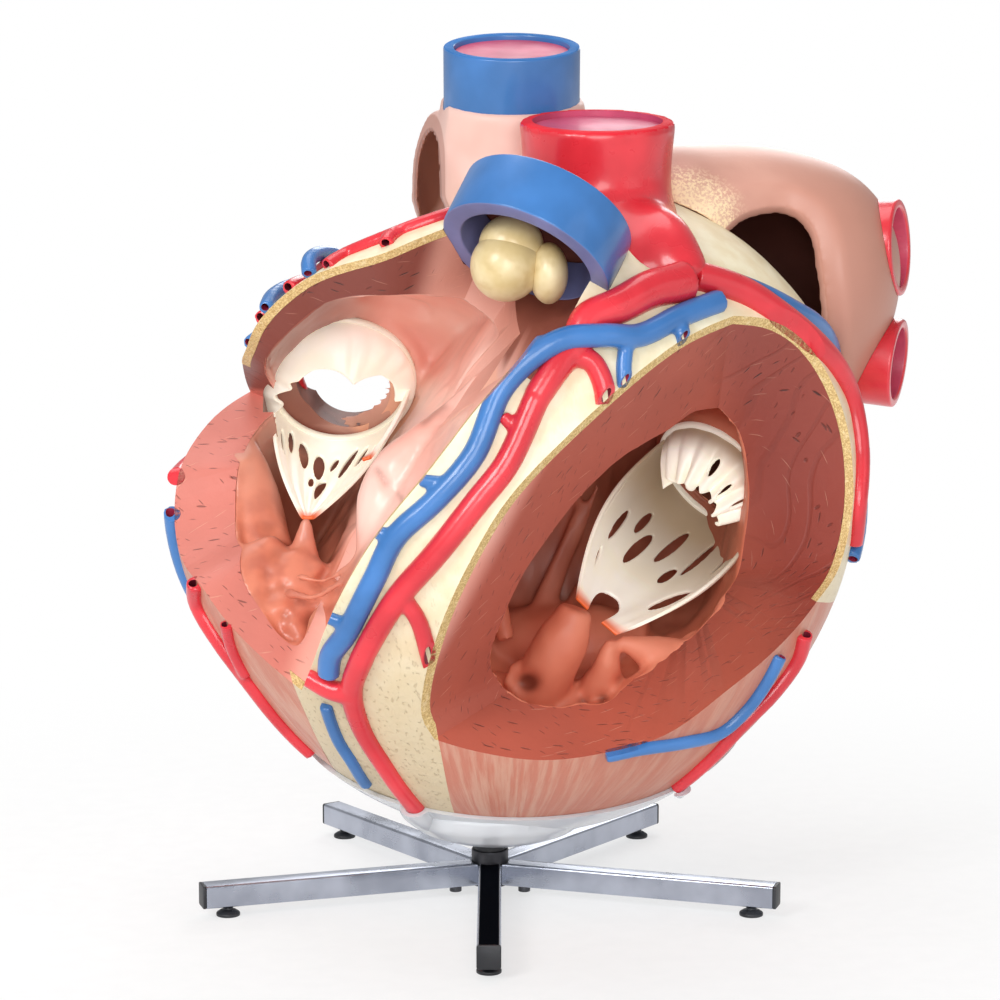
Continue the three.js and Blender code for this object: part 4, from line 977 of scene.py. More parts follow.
def aorta_way(low):
    return rod("aorta_way", 50, low, 260, *AORTA_WAY)


def outflow():
    return rod("outflow", TRUNK_BORE, -150, 6, *TRUNK)


def bores():
    """The round ways between the chambers, and the peg's hole."""
    tools = [
        valve_rod("right_way", TRICUSPID, TRICUSPID["bore"], -200, 8),
        turned("right_way_back", [(0, 0), (62, 0), (48, 150), (48, 260), (0, 260)],
               [-198, 115, 655], [0.104, 0.99, 0.067], 64),
        valve_rod("left_way", MITRAL, MITRAL["bore"], -200, 8),
        aorta_way(-10),
        paint_with(outflow(), paint("lining")),
        rod("trunk_hole", TRUNK_RADIUS + GAP, -GAP, 220, *TRUNK),
        rod("peg_hole", PEG_HOLE, -5, 191, sides=32),
    ]
    for tool in tools:
        if not tool.data.materials:
            paint_with(tool, paint("bore"))
    return tools


def seat(valve, name):
    return valve_rod(name, valve, valve["radius"] + 16, -170, 0)


SIGHT = unit([0, 0.99, -0.139])


def dimples(points, spots):
    """How deep each point lies in round pits that are sunk along one direction."""
    total = np.zeros(len(points))
    for at, radius, depth in spots:
        offset = points - np.array(at, float)
        along = offset @ SIGHT
        away = np.maximum((offset**2).sum(axis=1) - along**2, 0)
        total += depth * np.exp(-away / radius**2) * (np.abs(along) < 90)
    return total


def furrow(start, end, radius, depth, count=7):
    start, end = np.array(start, float), np.array(end, float)
    return [(start + (end - start) * t, radius, depth * 0.5) for t in np.linspace(0, 1, count)]


LEFT_PITS = [
    ((50, -62, 298), 13, 22), ((20, -50, 274), 12, 10), ((148, -46, 272), 9, 14),
    ((122, -46, 268), 9, 12), ((168, -50, 300), 8, 9),
]
RIGHT_PITS = [
    ((-289, -60, 502), 13, 6), ((-270, -60, 470), 14, 8), ((-285, -70, 444), 9, 6),
    ((-280, -80, 421), 11, 8), ((-262, -80, 428), 9, 7), ((-248, -90, 408), 8, 6),
    ((-260, -100, 394), 8, 8), ((-224, -130, 392), 14, 14), ((-222, -130, 374), 14, 12),
    *furrow((-142, -150, 590), (-128, -150, 570), 6, 12, 4),
    *furrow((-114, -160, 560), (-104, -160, 548), 6, 12, 3),
    *furrow((-60, -140, 668), (-84, -140, 648), 7, 12, 4),
    *furrow((-36, -130, 690), (-66, -130, 640), 8, 9, 5),
]
FOLDS = [
    *furrow((-168, 30, 802), (-84, 30, 780), 8, 16, 11),
    *furrow((-156, 20, 817), (-106, 20, 816), 7, 9),
    *furrow((-40, 0, 700), (-70, 0, 640), 10, 8),
]


def relief_left(points):
    """Columns and hollows of the left lining, deepest near the tip."""
    tall = points * np.array([1, 1, 0.4])
    low = fade(points[:, 2], 560, 330)
    crest = ridges(tall, 60, 3.1) * 9 + ridges(tall, 30, 7.7) * 4
    return (crest - 8) * (0.2 + 0.8 * low) + ripple(points, 90, 1.7) * 3


def relief_right(points):
    """Hollows between strings of muscle low in the right lining, folds near the outflow."""
    low = fade(points[:, 2], 600, 480)
    wide = ridges(points * np.array([1, 1, 0.8]), 80, 11.3)
    net = (wide * 10 - 7) * low
    folds = dimples(points, FOLDS) * (points[:, 1] > -80)
    return net + ripple(points, 120, 2.2) * 4 * (1 - low) - folds


def hollow(name, form, relief, *cuts):
    """A chamber's inside as a body to cut with: the form less its cuts, softened, with relief."""
    tool = ball(name, form, 6)
    carve(tool, *cuts)
    soften(tool, 5, 4)
    points, normals = points_of(tool), normals_of(tool)
    depth = -relief(points)
    move_points(tool, points + normals * depth[:, None])
    modify(tool, "SMOOTH", iterations=2, factor=0.5)
    return paint_with(tool, paint("lining"))


def record_relief(piece, name, values):
    attribute = piece.data.attributes.get(name) or piece.data.attributes.new(name, "FLOAT", "POINT")
    attribute.data.foreach_set("value", np.asarray(values, np.float32))


def pillar(name, places, radii):
    return hose(name, curve_through(places, 14), radii, 18)


FREE_MUSCLES = 5
LEFT_MUSCLES = [
    ([(60, -20, 262), (78, -60, 318), (95, -76, 358), (106, -80, 384), (112, -80, 400)],
     (44, 38, 36, 34, 22)),
    ([(143, -26, 266), (151, -62, 315), (156, -72, 346), (159, -72, 357)], (40, 27, 17, 8)),
    ([(232, -40, 323), (198, -58, 341), (168, -70, 354)], (32, 22, 8)),
    ([(280, -20, 342), (243, -40, 326), (203, -46, 304)], (22, 17, 18)),
    ([(74, -54, 298), (65, -56, 282), (50, -56, 276), (34, -56, 282), (26, -54, 298), (34, -54, 314),
      (50, -54, 321), (66, -54, 314)], (12, 11, 11)),
    ([(-6, 0, 272), (30, -16, 262), (87, -30, 248), (150, -30, 250), (215, -10, 276)],
     (30, 44, 46, 42, 30)),
    ([(0, 90, 330), (60, 76, 322), (130, 70, 318), (215, 60, 326)], (40, 58, 60, 40)),
    ([(146, 108, 535), (132, 104, 500), (103, 98, 433), (67, 60, 345)], (4, 8, 9, 13)),
    ([(124, 104, 515), (110, 100, 480), (78, 86, 407), (43, 46, 330)], (4, 7, 9, 12)),
    ([(168, 116, 480), (154, 112, 450), (119, 94, 394), (93, 40, 345)], (4, 7, 9, 12)),
    ([(20, 44, 440), (14, 20, 386), (22, 6, 340)], (6, 12, 13)),
]
RIGHT_MUSCLES = [
    ([(-237, -60, 515), (-239, -60, 484), (-244, -62, 440), (-250, -70, 400)], (6, 18, 34, 52)),
    ([(-258, -140, 430), (-222, -160, 427), (-190, -172, 446), (-160, -188, 466)], (9, 5, 5, 10)),
    ([(-244, -130, 449), (-208, -150, 447), (-164, -176, 478)], (7, 3.5, 7)),
    ([(-10, -108, 700), (-40, -120, 660), (-84, -128, 616), (-116, -132, 578), (-132, -144, 538),
      (-144, -162, 494), (-158, -176, 450)], (10, 18, 26, 36, 38, 28, 14)),
    ([(-172, -96, 430), (-181, -120, 384), (-189, -142, 352), (-187, -156, 327)], (34, 36, 30, 17)),
    ([(-340, 34, 622), (-328, 36, 588), (-318, 28, 548), (-306, 4, 500), (-292, -30, 456)],
     (10, 28, 36, 38, 38)),
    ([(-300, -60, 478), (-282, -84, 436), (-244, -100, 392), (-204, -124, 384)], (30, 44, 50, 40)),
    ([(-262, -66, 446), (-228, -84, 424)], (40, 36)),
    ([(-156, -24, 584), (-132, -40, 562), (-104, -60, 540)], (10, 24, 36)),
]


def lined(name, tool, bundles, pits, opening, openings):
    """One soft skin over a chamber's wall and the muscles that stand on it.

    Past the first few muscles, each keeps behind the opening's cut faces.
    """
    points, normals = points_of(tool), normals_of(tool)
    skin = move_points(copy_of(tool, name), points + normals * 4)
    carve(skin, move_points(copy_of(tool, "inside"), points - normals * 4), *openings)
    parts = [pillar(f"{name}_{i}", *bundle) for i, bundle in enumerate(bundles)]
    for part in parts[FREE_MUSCLES:]:
        carve(part, opening, keep=True)
    bpy.data.objects.remove(opening)
    piece = combine(name, [skin, *parts])
    soften(piece, 4, 12)
    carve(piece, under_skin(), operation="INTERSECT")
    points = points_of(piece)
    sunk = dimples(points, pits)
    wave = ripple(points * np.array([1, 1, 0.5]), 34, 4.0)
    move_points(piece, points + normals_of(piece) * (wave * 1.6)[:, None] + np.outer(sunk, SIGHT))
    modify(piece, "SMOOTH", iterations=3, factor=0.5)
    # The lining paint reads this relief to put painted shade in the hollows and painted light on the
    # crests.
    record_relief(piece, "relief", sunk * 0.8 - wave * 1.5 - 1)
    return piece


class HEART_OT_ventricles(bpy.types.Operator):
    """Opens the muscle of both ventricles and lines them"""

    bl_idname = "heart.ventricles"
    bl_label = "Ventricle muscle"

    def execute(self, context):
        detail = context.scene.heart_sizes.skin_detail
        muscle = paint_with(ball("ventricle_walls", HEART, detail), paint("muscle_skin"))
        region = paint_with(fat_region(), paint("muscle_skin"))
        under = paint_with(ball("under_fat", HEART, detail, -FAT_THICKNESS - GAP), paint("muscle_skin"))
        carve(muscle, region)
        carve(muscle, under, operation="UNION")
        left = hollow("left_hollow", LEFT_CHAMBER, relief_left, seat(MITRAL, "left_seat"))
        inner = ball("septum_face", LEFT_CHAMBER, 5, SEPTUM)
        right = hollow(
            "right_hollow", RIGHT_CHAMBER, relief_right,
            half_space("septum_plane", RIGHT_EYE, [0.825, 0.119, -0.552]), inner,
            seat(TRICUSPID, "right_seat"),
        )

        def recess():
            tool = valve_rod("right_recess", TRICUSPID, TRICUSPID["radius"] + 8, -1, 70)
            return paint_with(carve(tool, seat(TRICUSPID, "right_seat")), paint("lining"))

        linings = [
            lined("left_lining", left, LEFT_MUSCLES, LEFT_PITS, window("left", "lining"), [
                window("left", "lining"), valve_rod("way", MITRAL, MITRAL["bore"], -200, 30),
                aorta_way(-40),
            ]),
            lined("right_lining", right, RIGHT_MUSCLES, RIGHT_PITS, window("right", "lining"), [
                window("right", "lining"), valve_rod("way", TRICUSPID, TRICUSPID["bore"], -200, 30),
                recess(), outflow(),
            ]),
        ]
        for tool in [left, right, recess(), *windows("muscle_cut"), *bores()]:
            carve(muscle, tool)
        points = points_of(muscle)
        shift = np.minimum(LEFT_CHAMBER.distance(points), RIGHT_CHAMBER.distance(points))
        record_relief(muscle, "relief", np.clip(shift, -20, 20))
        finish(muscle, "heart", "ventricle_muscle", slot="muscle", angle=40)
        for piece in linings:
            finish(piece, "heart", slot="muscle", angle=60, look="lining")
        return {"FINISHED"}


def paint_faces(piece, look, base, axis, chosen):
    """Gives one more finish to the faces that chosen(height, radius, lean) picks round an axis."""
    piece.data.materials.append(paint(look))
    at, along = metres(base), unit(axis)
    for face in piece.data.polygons:
        offset = np.array(face.center) - at
        height = offset @ along
        radius = np.linalg.norm(offset - along * height) * 1000
        if chosen(height * 1000, radius, np.array(face.normal) @ along):
            face.material_index = len(piece.data.materials) - 1


def paint_end(piece, base, axis, low, look):
    """Gives the flat faces past a height along an axis their own finish."""
    paint_faces(piece, look, base, axis, lambda height, radius, lean: height > low and lean > 0.6)


class HEART_OT_fat(bpy.types.Operator):
    """Lays the fat over the base and down the grooves"""

    bl_idname = "heart.fat"
    bl_label = "Fat"

    def execute(self, context):
        detail = context.scene.heart_sizes.skin_detail
        fat = paint_with(
            ball("fat_jacket", HEART, detail, 0, lambda p: ripple(p, 60, 9.1) * 0.8), paint("fat")
        )
        carve(fat, paint_with(fat_region(), paint("fat")), operation="INTERSECT")
        carve(fat, paint_with(ball("under_fat", HEART, detail, -FAT_THICKNESS), paint("fat_cut")))
        carve(fat, *windows("fat_cut"), *bores())
        finish(fat, "heart", "heart_fat", slot="fat", angle=40)
        return {"FINISHED"}


UPPER_VEIN = [29, 152, 1020], [0, -0.22, 0.975]
# The right atrium is cut open by one plane above a height and by another below it.
HIGH_CUT = [-67, 60, 957], [-0.916, -0.212, -0.339]
LOW_CUT = [-66, 60, 880], [-0.97, -0.2, 0.12]
CUT_TURN, CUT_FOOT = 885, 570
LEFT_ATRIUM_EYE = [372, 190, 800]
LEFT_ATRIUM_WINDOW = [
    (293, -4, 875), (332, 21, 913), (392, 42, 922), (425, 35, 900), (443, 14, 829), (453, 27, 730),
    (440, 65, 650), (329, 27, 650), (272, -4, 752),
]


class HEART_OT_atria(bpy.types.Operator):
    """Opens both atria as thick shells with rounded rims"""

    bl_idname = "heart.atria"
    bl_label = "Atria"

    def execute(self, context):
        right = ball("right_atrium_shell", RIGHT_ATRIUM, 6)
        carve(right, turned("collar", [
            (0, -50), (116, -50), (106, -20), (101, 0), (98, 20), (96, 28), (93, 31), (0, 31),
        ], *UPPER_VEIN), operation="UNION")
        top = half_space("high", *HIGH_CUT)
        carve(top, half_space("below", [0, 0, CUT_TURN], [0, 0, -1]))
        bottom = half_space("low", *LOW_CUT)
        carve(bottom, half_space("under", [0, 0, CUT_FOOT], [0, 0, -1]))

        def to_right_edge(points):
            tall = points[:, 2]
            high, low = (-(points - point) @ unit(normal) for point, normal in (HIGH_CUT, LOW_CUT))
            return np.where(tall > CUT_TURN, high, low) + np.maximum(CUT_FOOT - tall, 0)

        room = ball(
            "right_atrium_room", RIGHT_ATRIUM, 6, -ATRIUM_WALL,
            lambda p: -26 * fade(to_right_edge(p), 60, -10) * fade(p[:, 2], 880, 930),
        )
        carve(right, room, top, bottom, beside(HEART))
        left = ball("left_atrium_shell", LEFT_ATRIUM, 6)
        eye = np.array(LEFT_ATRIUM_EYE, float)
        outline = curve_through(LEFT_ATRIUM_WINDOW, 12, closed=True)
        opening = shell_of("left_opening", [(outline - eye) * 0.02 + eye, (outline - eye) * 3 + eye])
        carve(
            left, ball("left_atrium_room", LEFT_ATRIUM, 6, -ATRIUM_WALL), opening,
            beside(HEART), beside(RIGHT_ATRIUM),
        )
        around_opening = unit_rows(curve_through(LEFT_ATRIUM_WINDOW, 2, closed=True) - eye)

        def to_left_edge(points):
            away = points - eye
            far = np.linalg.norm(away, axis=1)
            nearest = ((away / far[:, None]) @ around_opening.T).max(axis=1)
            return np.arccos(np.clip(nearest, -1, 1)) * far

        for piece, form, node, edge in (
            (right, RIGHT_ATRIUM, "right_atrium", to_right_edge),
            (left, LEFT_ATRIUM, "left_atrium", to_left_edge),
        ):
            soften(piece, 3.6, 8)
            points = points_of(piece)
            depth = -form.distance(points)
            record_relief(piece, "depth", np.clip(depth, -5, 30))
            curl = fade(edge(points), 34, 0) ** 2 * 16
            inward = unit_rows(form.centre - points)
            move_points(piece, points + inward * curl[:, None])
            modify(piece, "SMOOTH", iterations=6, factor=0.5)
            if piece == right:
                way = turned("vein_way", [
                    (0, -60), (97.4, -60), (91.4, 30), (91.4, 60), (0, 60),
                ], *UPPER_VEIN)
                carve(piece, carve(way, beside(RIGHT_ATRIUM)))
            finish(piece, "heart", node, slot="atrium", angle=60, look="atrium")
        return {"FINISHED"}


class HEART_OT_great_vessels(bpy.types.Operator):
    """Models the aorta, the upper great vein and the lung artery with its valve"""

    bl_idname = "heart.great_vessels"
    bl_label = "Great vessels"

    def execute(self, context):
        base, axis = [138, -8, 900], [0, -0.15, 0.988]
        tube = turned("aorta_tube", [
            (0, -60), (112, -60), (103, -10), (97, 30), (96, 60), (97, 85), (99, 112), (100, 121),
            (97, 124), (0, 124),
        ], base, axis)
        line = curve_through([(160, -50, 880), on_skin((54, 58)), on_skin((50, 48.5))], 10)
        branch = hose("left_main", line, (68, 44, 35, 32))
        aorta = combine("aorta_wall", [tube, ball("aorta_foot", AORTA_ROOT, 5), branch])
        soften(aorta, 4, 8)
        group = aorta.vertex_groups.new(name="low")
        for i, share in enumerate(fade(points_of(aorta)[:, 2], 1000, 950)):
            if share:
                group.add([i], float(share), "REPLACE")
        modify(aorta, "SMOOTH", iterations=90, factor=0.6, vertex_group="low")
        paint_with(aorta, paint("artery"))
        top = turned("aorta_seat", rounded([(0, 108), (82, 108), (84, 128), (0, 128)], 2), base, axis)
        carve(aorta, paint_with(top, paint("disc")), beside(HEART))
        paint_end(aorta, base, axis, 110, "artery_end")
        finish(aorta, "heart", "aorta", slot="red_vessel", angle=40)
        self.lid("aorta_lid", "aorta_disc", 83.0, 109, 117, base, axis)
        base, axis = UPPER_VEIN
        vena = turned("upper_vein_wall", rounded([
            (0, -60), (97, -60), (91, 30), (91, 102), (77, 102), (77, 86), (0, 86),
        ], 3), base, axis)
        paint_with(vena, paint("vein"))
        carve(vena, beside(RIGHT_ATRIUM))
        paint_end(vena, base, axis, 95, "vein_end")
        finish(vena, "heart", "upper_great_vein", slot="blue_vessel", angle=40)
        self.lid("upper_vein_lid", "upper_great_vein_disc", 76.6, 87, 95, base, axis)
        trunk = turned("lung_artery_wall", rounded([
            (TRUNK_BORE, 0), (TRUNK_RADIUS, 0), (TRUNK_RADIUS, 75), (96, 75), (96, 58.5),
            (TRUNK_BORE, 58.5),
        ], 3), *TRUNK, 128)
        paint_with(trunk, paint("vein"))
        paint_faces(
            trunk, "trunk_cut", *TRUNK,
            lambda height, radius, lean: height < 0.6 or radius < TRUNK_BORE + 1,
        )
        finish(trunk, "heart", "lung_artery", slot="blue_vessel", angle=40)
        # The lung artery's lid takes the brown bore paint as painted shade behind the pouches.
        self.lid("lung_artery_lid", "lung_artery_disc", 95.6, 59, 67, *TRUNK, "bore")
        self.cusps()
        return {"FINISHED"}

    def lid(self, name, node, radius, low, high, base, axis, look="disc"):
        lid = turned(name, rounded([
            (0, low), (radius, low), (radius, high), (0, high - 1.5),
        ], 2), base, axis)
        finish(lid, "heart", node, slot="disc", angle=40, look=look)

    def cusps(self):
        """Three pouches: a wide one in front, one behind it and a narrow one at the right."""
        pouches = (
            ((27, -199, 872), (40, 40, 38)),
            ((20.7, -207.6, 846.9), (44, 44, 44)),
            ((73, -208, 838), (24, 38, 38)),
        )
        for i, (centre, radii) in enumerate(pouches):
            bpy.ops.mesh.primitive_ico_sphere_add(
                subdivisions=5, radius=1, location=metres(centre), scale=np.array(radii) / 1000
            )
            cusp = settle(named(f"lung_artery_pouch_{i + 1}"))
            mouth, axis = TRUNK
            carve(cusp, half_space("back", np.array(mouth) + unit(axis) * 56, axis))
            if i != 1:
                carve(cusp, rod("wall", 85.6, -120, 120, mouth, axis), operation="INTERSECT")
            soften(cusp, 1.8, 10)
            node = f"lung_artery_cusp_{i + 1}"
            finish(cusp, "heart", node, slot="cusp", angle=60, look="cusp")


def frame_of(axis):
    normal = unit(axis)
    right = unit(np.cross([0, 0, 1], normal))
    return normal, right, np.cross(normal, right)


def around(right, up, degrees):
    a = math.radians(degrees)
    return right * math.cos(a) + up * math.sin(a)


LEAFLET_THICKNESS = 5


def leaflet(valve, arc, edge, bulge, ruffle=lambda s, t: 0):
    """A sheet over (s, t), both from 0 to 1, from an arc of the ring to a free edge."""
    normal, right, up = frame_of(valve["axis"])

    def at(s, t):
        out = around(right, up, arc[0] + (arc[1] - arc[0]) * s)
        root = np.array(valve["at"]) + out * valve["radius"] + normal * 5
        end = np.asarray(edge(s, out, normal), float)
        swell = math.sin(t * math.pi) * bulge + ruffle(s, t)
        return root * (1 - t) + end * t + out * swell

    return at


def sheet_piece(name, at, columns, rows, slots=(), tip=None, root_shade=0.0, shade=None):
    """A leaflet: a grid, its slots cut away, laid on its form, thickened and rounded.

    Tip is where along t it turns orange, the root's painted shade how far along t it reaches, and shade
    where along s more painted shade falls.
    """
    bpy.ops.mesh.primitive_grid_add(x_subdivisions=columns, y_subdivisions=rows, size=1)
    piece = named(name)
    bm = bmesh.new()
    bm.from_mesh(piece.data)

    def in_slot(face):
        s, t = (c + 0.5 for c in face.calc_center_median().xy)
        for cs, ct, width, length, lean in slots:
            v = (t - ct) / (length / 2)
            u = (s - cs - lean * (t - ct)) / (width / 2)
            if u * u + v * v < 1:
                return True
        return False

    bmesh.ops.delete(bm, geom=[f for f in bm.faces if in_slot(f)], context="FACES")
    for v in bm.verts:
        if not v.is_boundary:
            continue
        s, t = v.co.x + 0.5, v.co.y + 0.5
        if min(s, t, 1 - s, 1 - t) < 1e-4:
            continue
        cs, ct, width, length, lean = min(slots, key=lambda q: abs(math.hypot(
            (s - q[0] - q[4] * (t - q[1])) / (q[2] / 2), (t - q[1]) / (q[3] / 2)) - 1))
        u, w = (s - cs - lean * (t - ct)) / (width / 2), (t - ct) / (length / 2)
        far = max(math.hypot(u, w), 1e-6)
        u, w = u / far, w / far
        t = ct + w * length / 2
        v.co.x = cs + u * width / 2 + lean * (t - ct) - 0.5
        v.co.y = t - 0.5
    bm.to_mesh(piece.data)
    bm.free()
    st = np.array([(v.co.x + 0.5, v.co.y + 0.5) for v in piece.data.vertices])
    move_points(piece, [at(s, t) for s, t in st.tolist()])
    record_relief(piece, "tip", fade(st[:, 1], *tip) if tip else np.zeros(len(st)))
    # Painted shade: darkest at the root, fading along t, with more along s where shade says.
    dark = fade(st[:, 1], root_shade, root_shade * 0.15) * 0.85 if root_shade else np.zeros(len(st))
    if shade:
        dark = dark + 0.35 * fade(st[:, 0], *shade)
    record_relief(piece, "shade", dark)
    modify(piece, "SOLIDIFY", thickness=LEAFLET_THICKNESS / 1000, offset=0.0, use_rim=True)
    modify(piece, "SUBSURF", levels=1, render_levels=1)
    return outward(piece)


def valve_ring(name, valve):
    radius = valve["radius"]
    ring = turned(name, rounded([
        (radius - 7, GAP), (radius + 7, GAP), (radius + 7, 10), (radius - 7, 10),
    ], 4), valve["at"], valve["axis"])
    for key, value in (("tip", 0), ("shade", 0.25)):
        record_relief(ring, key, np.full(len(ring.data.vertices), value))
    return ring


def toward(a, b):
    a, b = np.array(a, float), np.array(b, float)
    return lambda s, out, normal: a + (b - a) * s


# Slots are (middle s, middle t, width, length, lean).
FAN_SLOTS = [
    (0.12, 0.26, 0.045, 0.22, 0), (0.22, 0.18, 0.05, 0.2, 0), (0.33, 0.24, 0.085, 0.24, 0.1),
    (0.46, 0.32, 0.085, 0.26, 0.08), (0.57, 0.28, 0.045, 0.14, -0.1), (0.67, 0.28, 0.06, 0.3, -0.15),
    (0.52, 0.58, 0.10, 0.24, -0.1), (0.77, 0.26, 0.045, 0.2, -0.1), (0.85, 0.32, 0.045, 0.24, -0.1),
    (0.93, 0.3, 0.035, 0.22, -0.05), (0.42, 0.5, 0.05, 0.12, 0),
]
STRING_SLOTS = [(0.3, 0.5, 0.2, 0.62, 0), (0.68, 0.55, 0.2, 0.6, 0)]
LONG_SLOTS = [
    (0.05, 0.42, 0.03, 0.24, 0.05), (0.19, 0.68, 0.045, 0.13, 0), (0.22, 0.43, 0.05, 0.22, -0.05),
    (0.32, 0.29, 0.04, 0.16, -0.05), (0.38, 0.42, 0.055, 0.26, -0.12), (0.50, 0.28, 0.045, 0.26, -0.12),
    (0.58, 0.44, 0.045, 0.14, -0.1), (0.65, 0.26, 0.045, 0.28, -0.15), (0.80, 0.22, 0.04, 0.26, -0.15),
    (0.84, 0.36, 0.028, 0.16, -0.1), (0.75, 0.62, 0.10, 0.24, -0.2), (0.46, 1.0, 0.34, 0.44, 0),
]
SHORT_SLOTS = [
    (0.30, 0.75, 0.05, 0.3, 0), (0.48, 0.62, 0.05, 0.34, 0), (0.16, 0.6, 0.035, 0.3, 0),
]


class HEART_OT_valves(bpy.types.Operator):
    """Models the leaflets, strings and rings of both inlet valves"""

    bl_idname = "heart.valves"
    bl_label = "Inlet valves"

    def execute(self, context):
        stops = (0, 0.12, 0.22, 0.36, 0.5, 0.62, 0.75, 0.88, 1)
        reach_in = (74, 72, 66, 42, 55, 62, 64, 80, 92)
        height = (30, 38, 48, 72, 62, 55, 52, 40, 34)

        def hood_edge(s, out, normal):
            curl = 3 * math.sin(s * 58) * fade(s, 0.74, 0.84)
            away = np.interp(s, stops, reach_in) + curl
            return np.array(TRICUSPID["at"]) + out * away + normal * np.interp(s, stops, height)

        def hood_ruffle(s, t):
            ribs = 2.6 * math.sin(s * 72) * fade(s, 0.1, 0.18) * fade(s, 0.5, 0.4)
            frill = 5 * math.sin(s * 58 + 0.8) * fade(s, 0.72, 0.84)
            return (ribs * math.sin(t * math.pi) + frill * t**2) * fade(t, 0.15, 0.6)

        hood = leaflet(TRICUSPID, (-12, 205), hood_edge, 12, hood_ruffle)
        fan = leaflet(
            TRICUSPID, (196, 330), toward([-241, -60, 513], [-229, -60, 513]), 12,
            lambda s, t: 1.6 * math.sin(s * 40) * t * (1 - t) * 3,
        )
        strings = leaflet(TRICUSPID, (322, 360), toward([-166, -20, 584], [-156, -20, 586]), 6)
        right = [
            carve(
                sheet_piece("hood", hood, 150, 30, shade=(0.8, 1.0)), under_skin(),
                operation="INTERSECT",
            ),
            sheet_piece("fan", fan, 110, 56, FAN_SLOTS, tip=(0.88, 1.0)),
            sheet_piece("strings", strings, 50, 40, STRING_SLOTS, tip=(0.88, 1.0)),
            valve_ring("right_ring", TRICUSPID),
        ]
        long = leaflet(
            MITRAL, (136, 329), toward([112, -70, 409], [163, -70, 361]), 28,
            lambda s, t: 2 * math.sin(s * 34) * t * (1 - t) * 3,
        )
        short = leaflet(
            MITRAL, (-28, 132),
            lambda s, out, n: np.array(MITRAL["at"]) + out * (42 + 5 * math.sin(s * 44))
            + n * (70 + 7 * math.sin(s * 44 + 1) + 5 * math.sin(s * 13)),
            8, lambda s, t: 2.4 * math.sin(s * 66) * t**2,
        )
        left = [
            sheet_piece("long", long, 120, 60, LONG_SLOTS, tip=(0.92, 1.0), root_shade=0.75),
            sheet_piece("short", short, 120, 34, SHORT_SLOTS, root_shade=0.6),
            valve_ring("left_ring", MITRAL),
        ]
        for node, sheets in (("right_valve", right), ("left_valve", left)):
            valve = combine(node + "_leaflets", sheets)
            finish(valve, "heart", node, slot="valve", angle=60, look="valve")
        return {"FINISHED"}


VESSEL_SLOTS = {"artery": "red_vessel", "vein": "blue_vessel"}


class HEART_OT_vein_stubs(bpy.types.Operator):
    """Models the open stubs of the lung veins and of the lower great vein"""

    bl_idname = "heart.vein_stubs"
    bl_label = "Vein stubs"

    STUBS = [
        ("lung_vein_upper_right", 65, 50, [505, 152, 850], [0.94, -0.34, 0.05], "artery", LEFT_ATRIUM),
        ("lung_vein_lower_right", 60, 44, [512, 156, 700], [0.94, -0.32, -0.1], "artery", LEFT_ATRIUM),
        ("lung_vein_upper_left", 56, 40, [235, 350, 850], [-0.45, 0.88, 0.15], "artery", LEFT_ATRIUM),
        ("lung_vein_lower_left", 56, 40, [245, 368, 700], [-0.4, 0.9, -0.15], "artery", LEFT_ATRIUM),
        ("lower_great_vein", 72, 60, [-10, 330, 570], [0.05, 0.62, -0.78], "vein", RIGHT_ATRIUM),
    ]

    def execute(self, context):
        for node, radius, length, point, axis, colour, owner in self.STUBS:
            inner = radius - 12
            stub = turned(node + "_wall", rounded([
                (inner + 3, -60), (radius + 1, -60), (radius, 0), (radius, length),
                (inner, length), (inner - 1, 0),
            ], 4), point, axis)
            paint_with(stub, paint(colour))
            paint_faces(
                stub, "great_bore", point, axis,
                lambda height, radius, lean: radius < inner + 3.2 and height < length - 3,
            )
            inside = half_space("inside", np.array(point) - unit(axis) * 45, [-c for c in axis])
            carve(stub, beside(owner), inside, beside(HEART))
            finish(stub, "heart", node, slot=VESSEL_SLOTS[colour], angle=40)
        return {"FINISHED"}


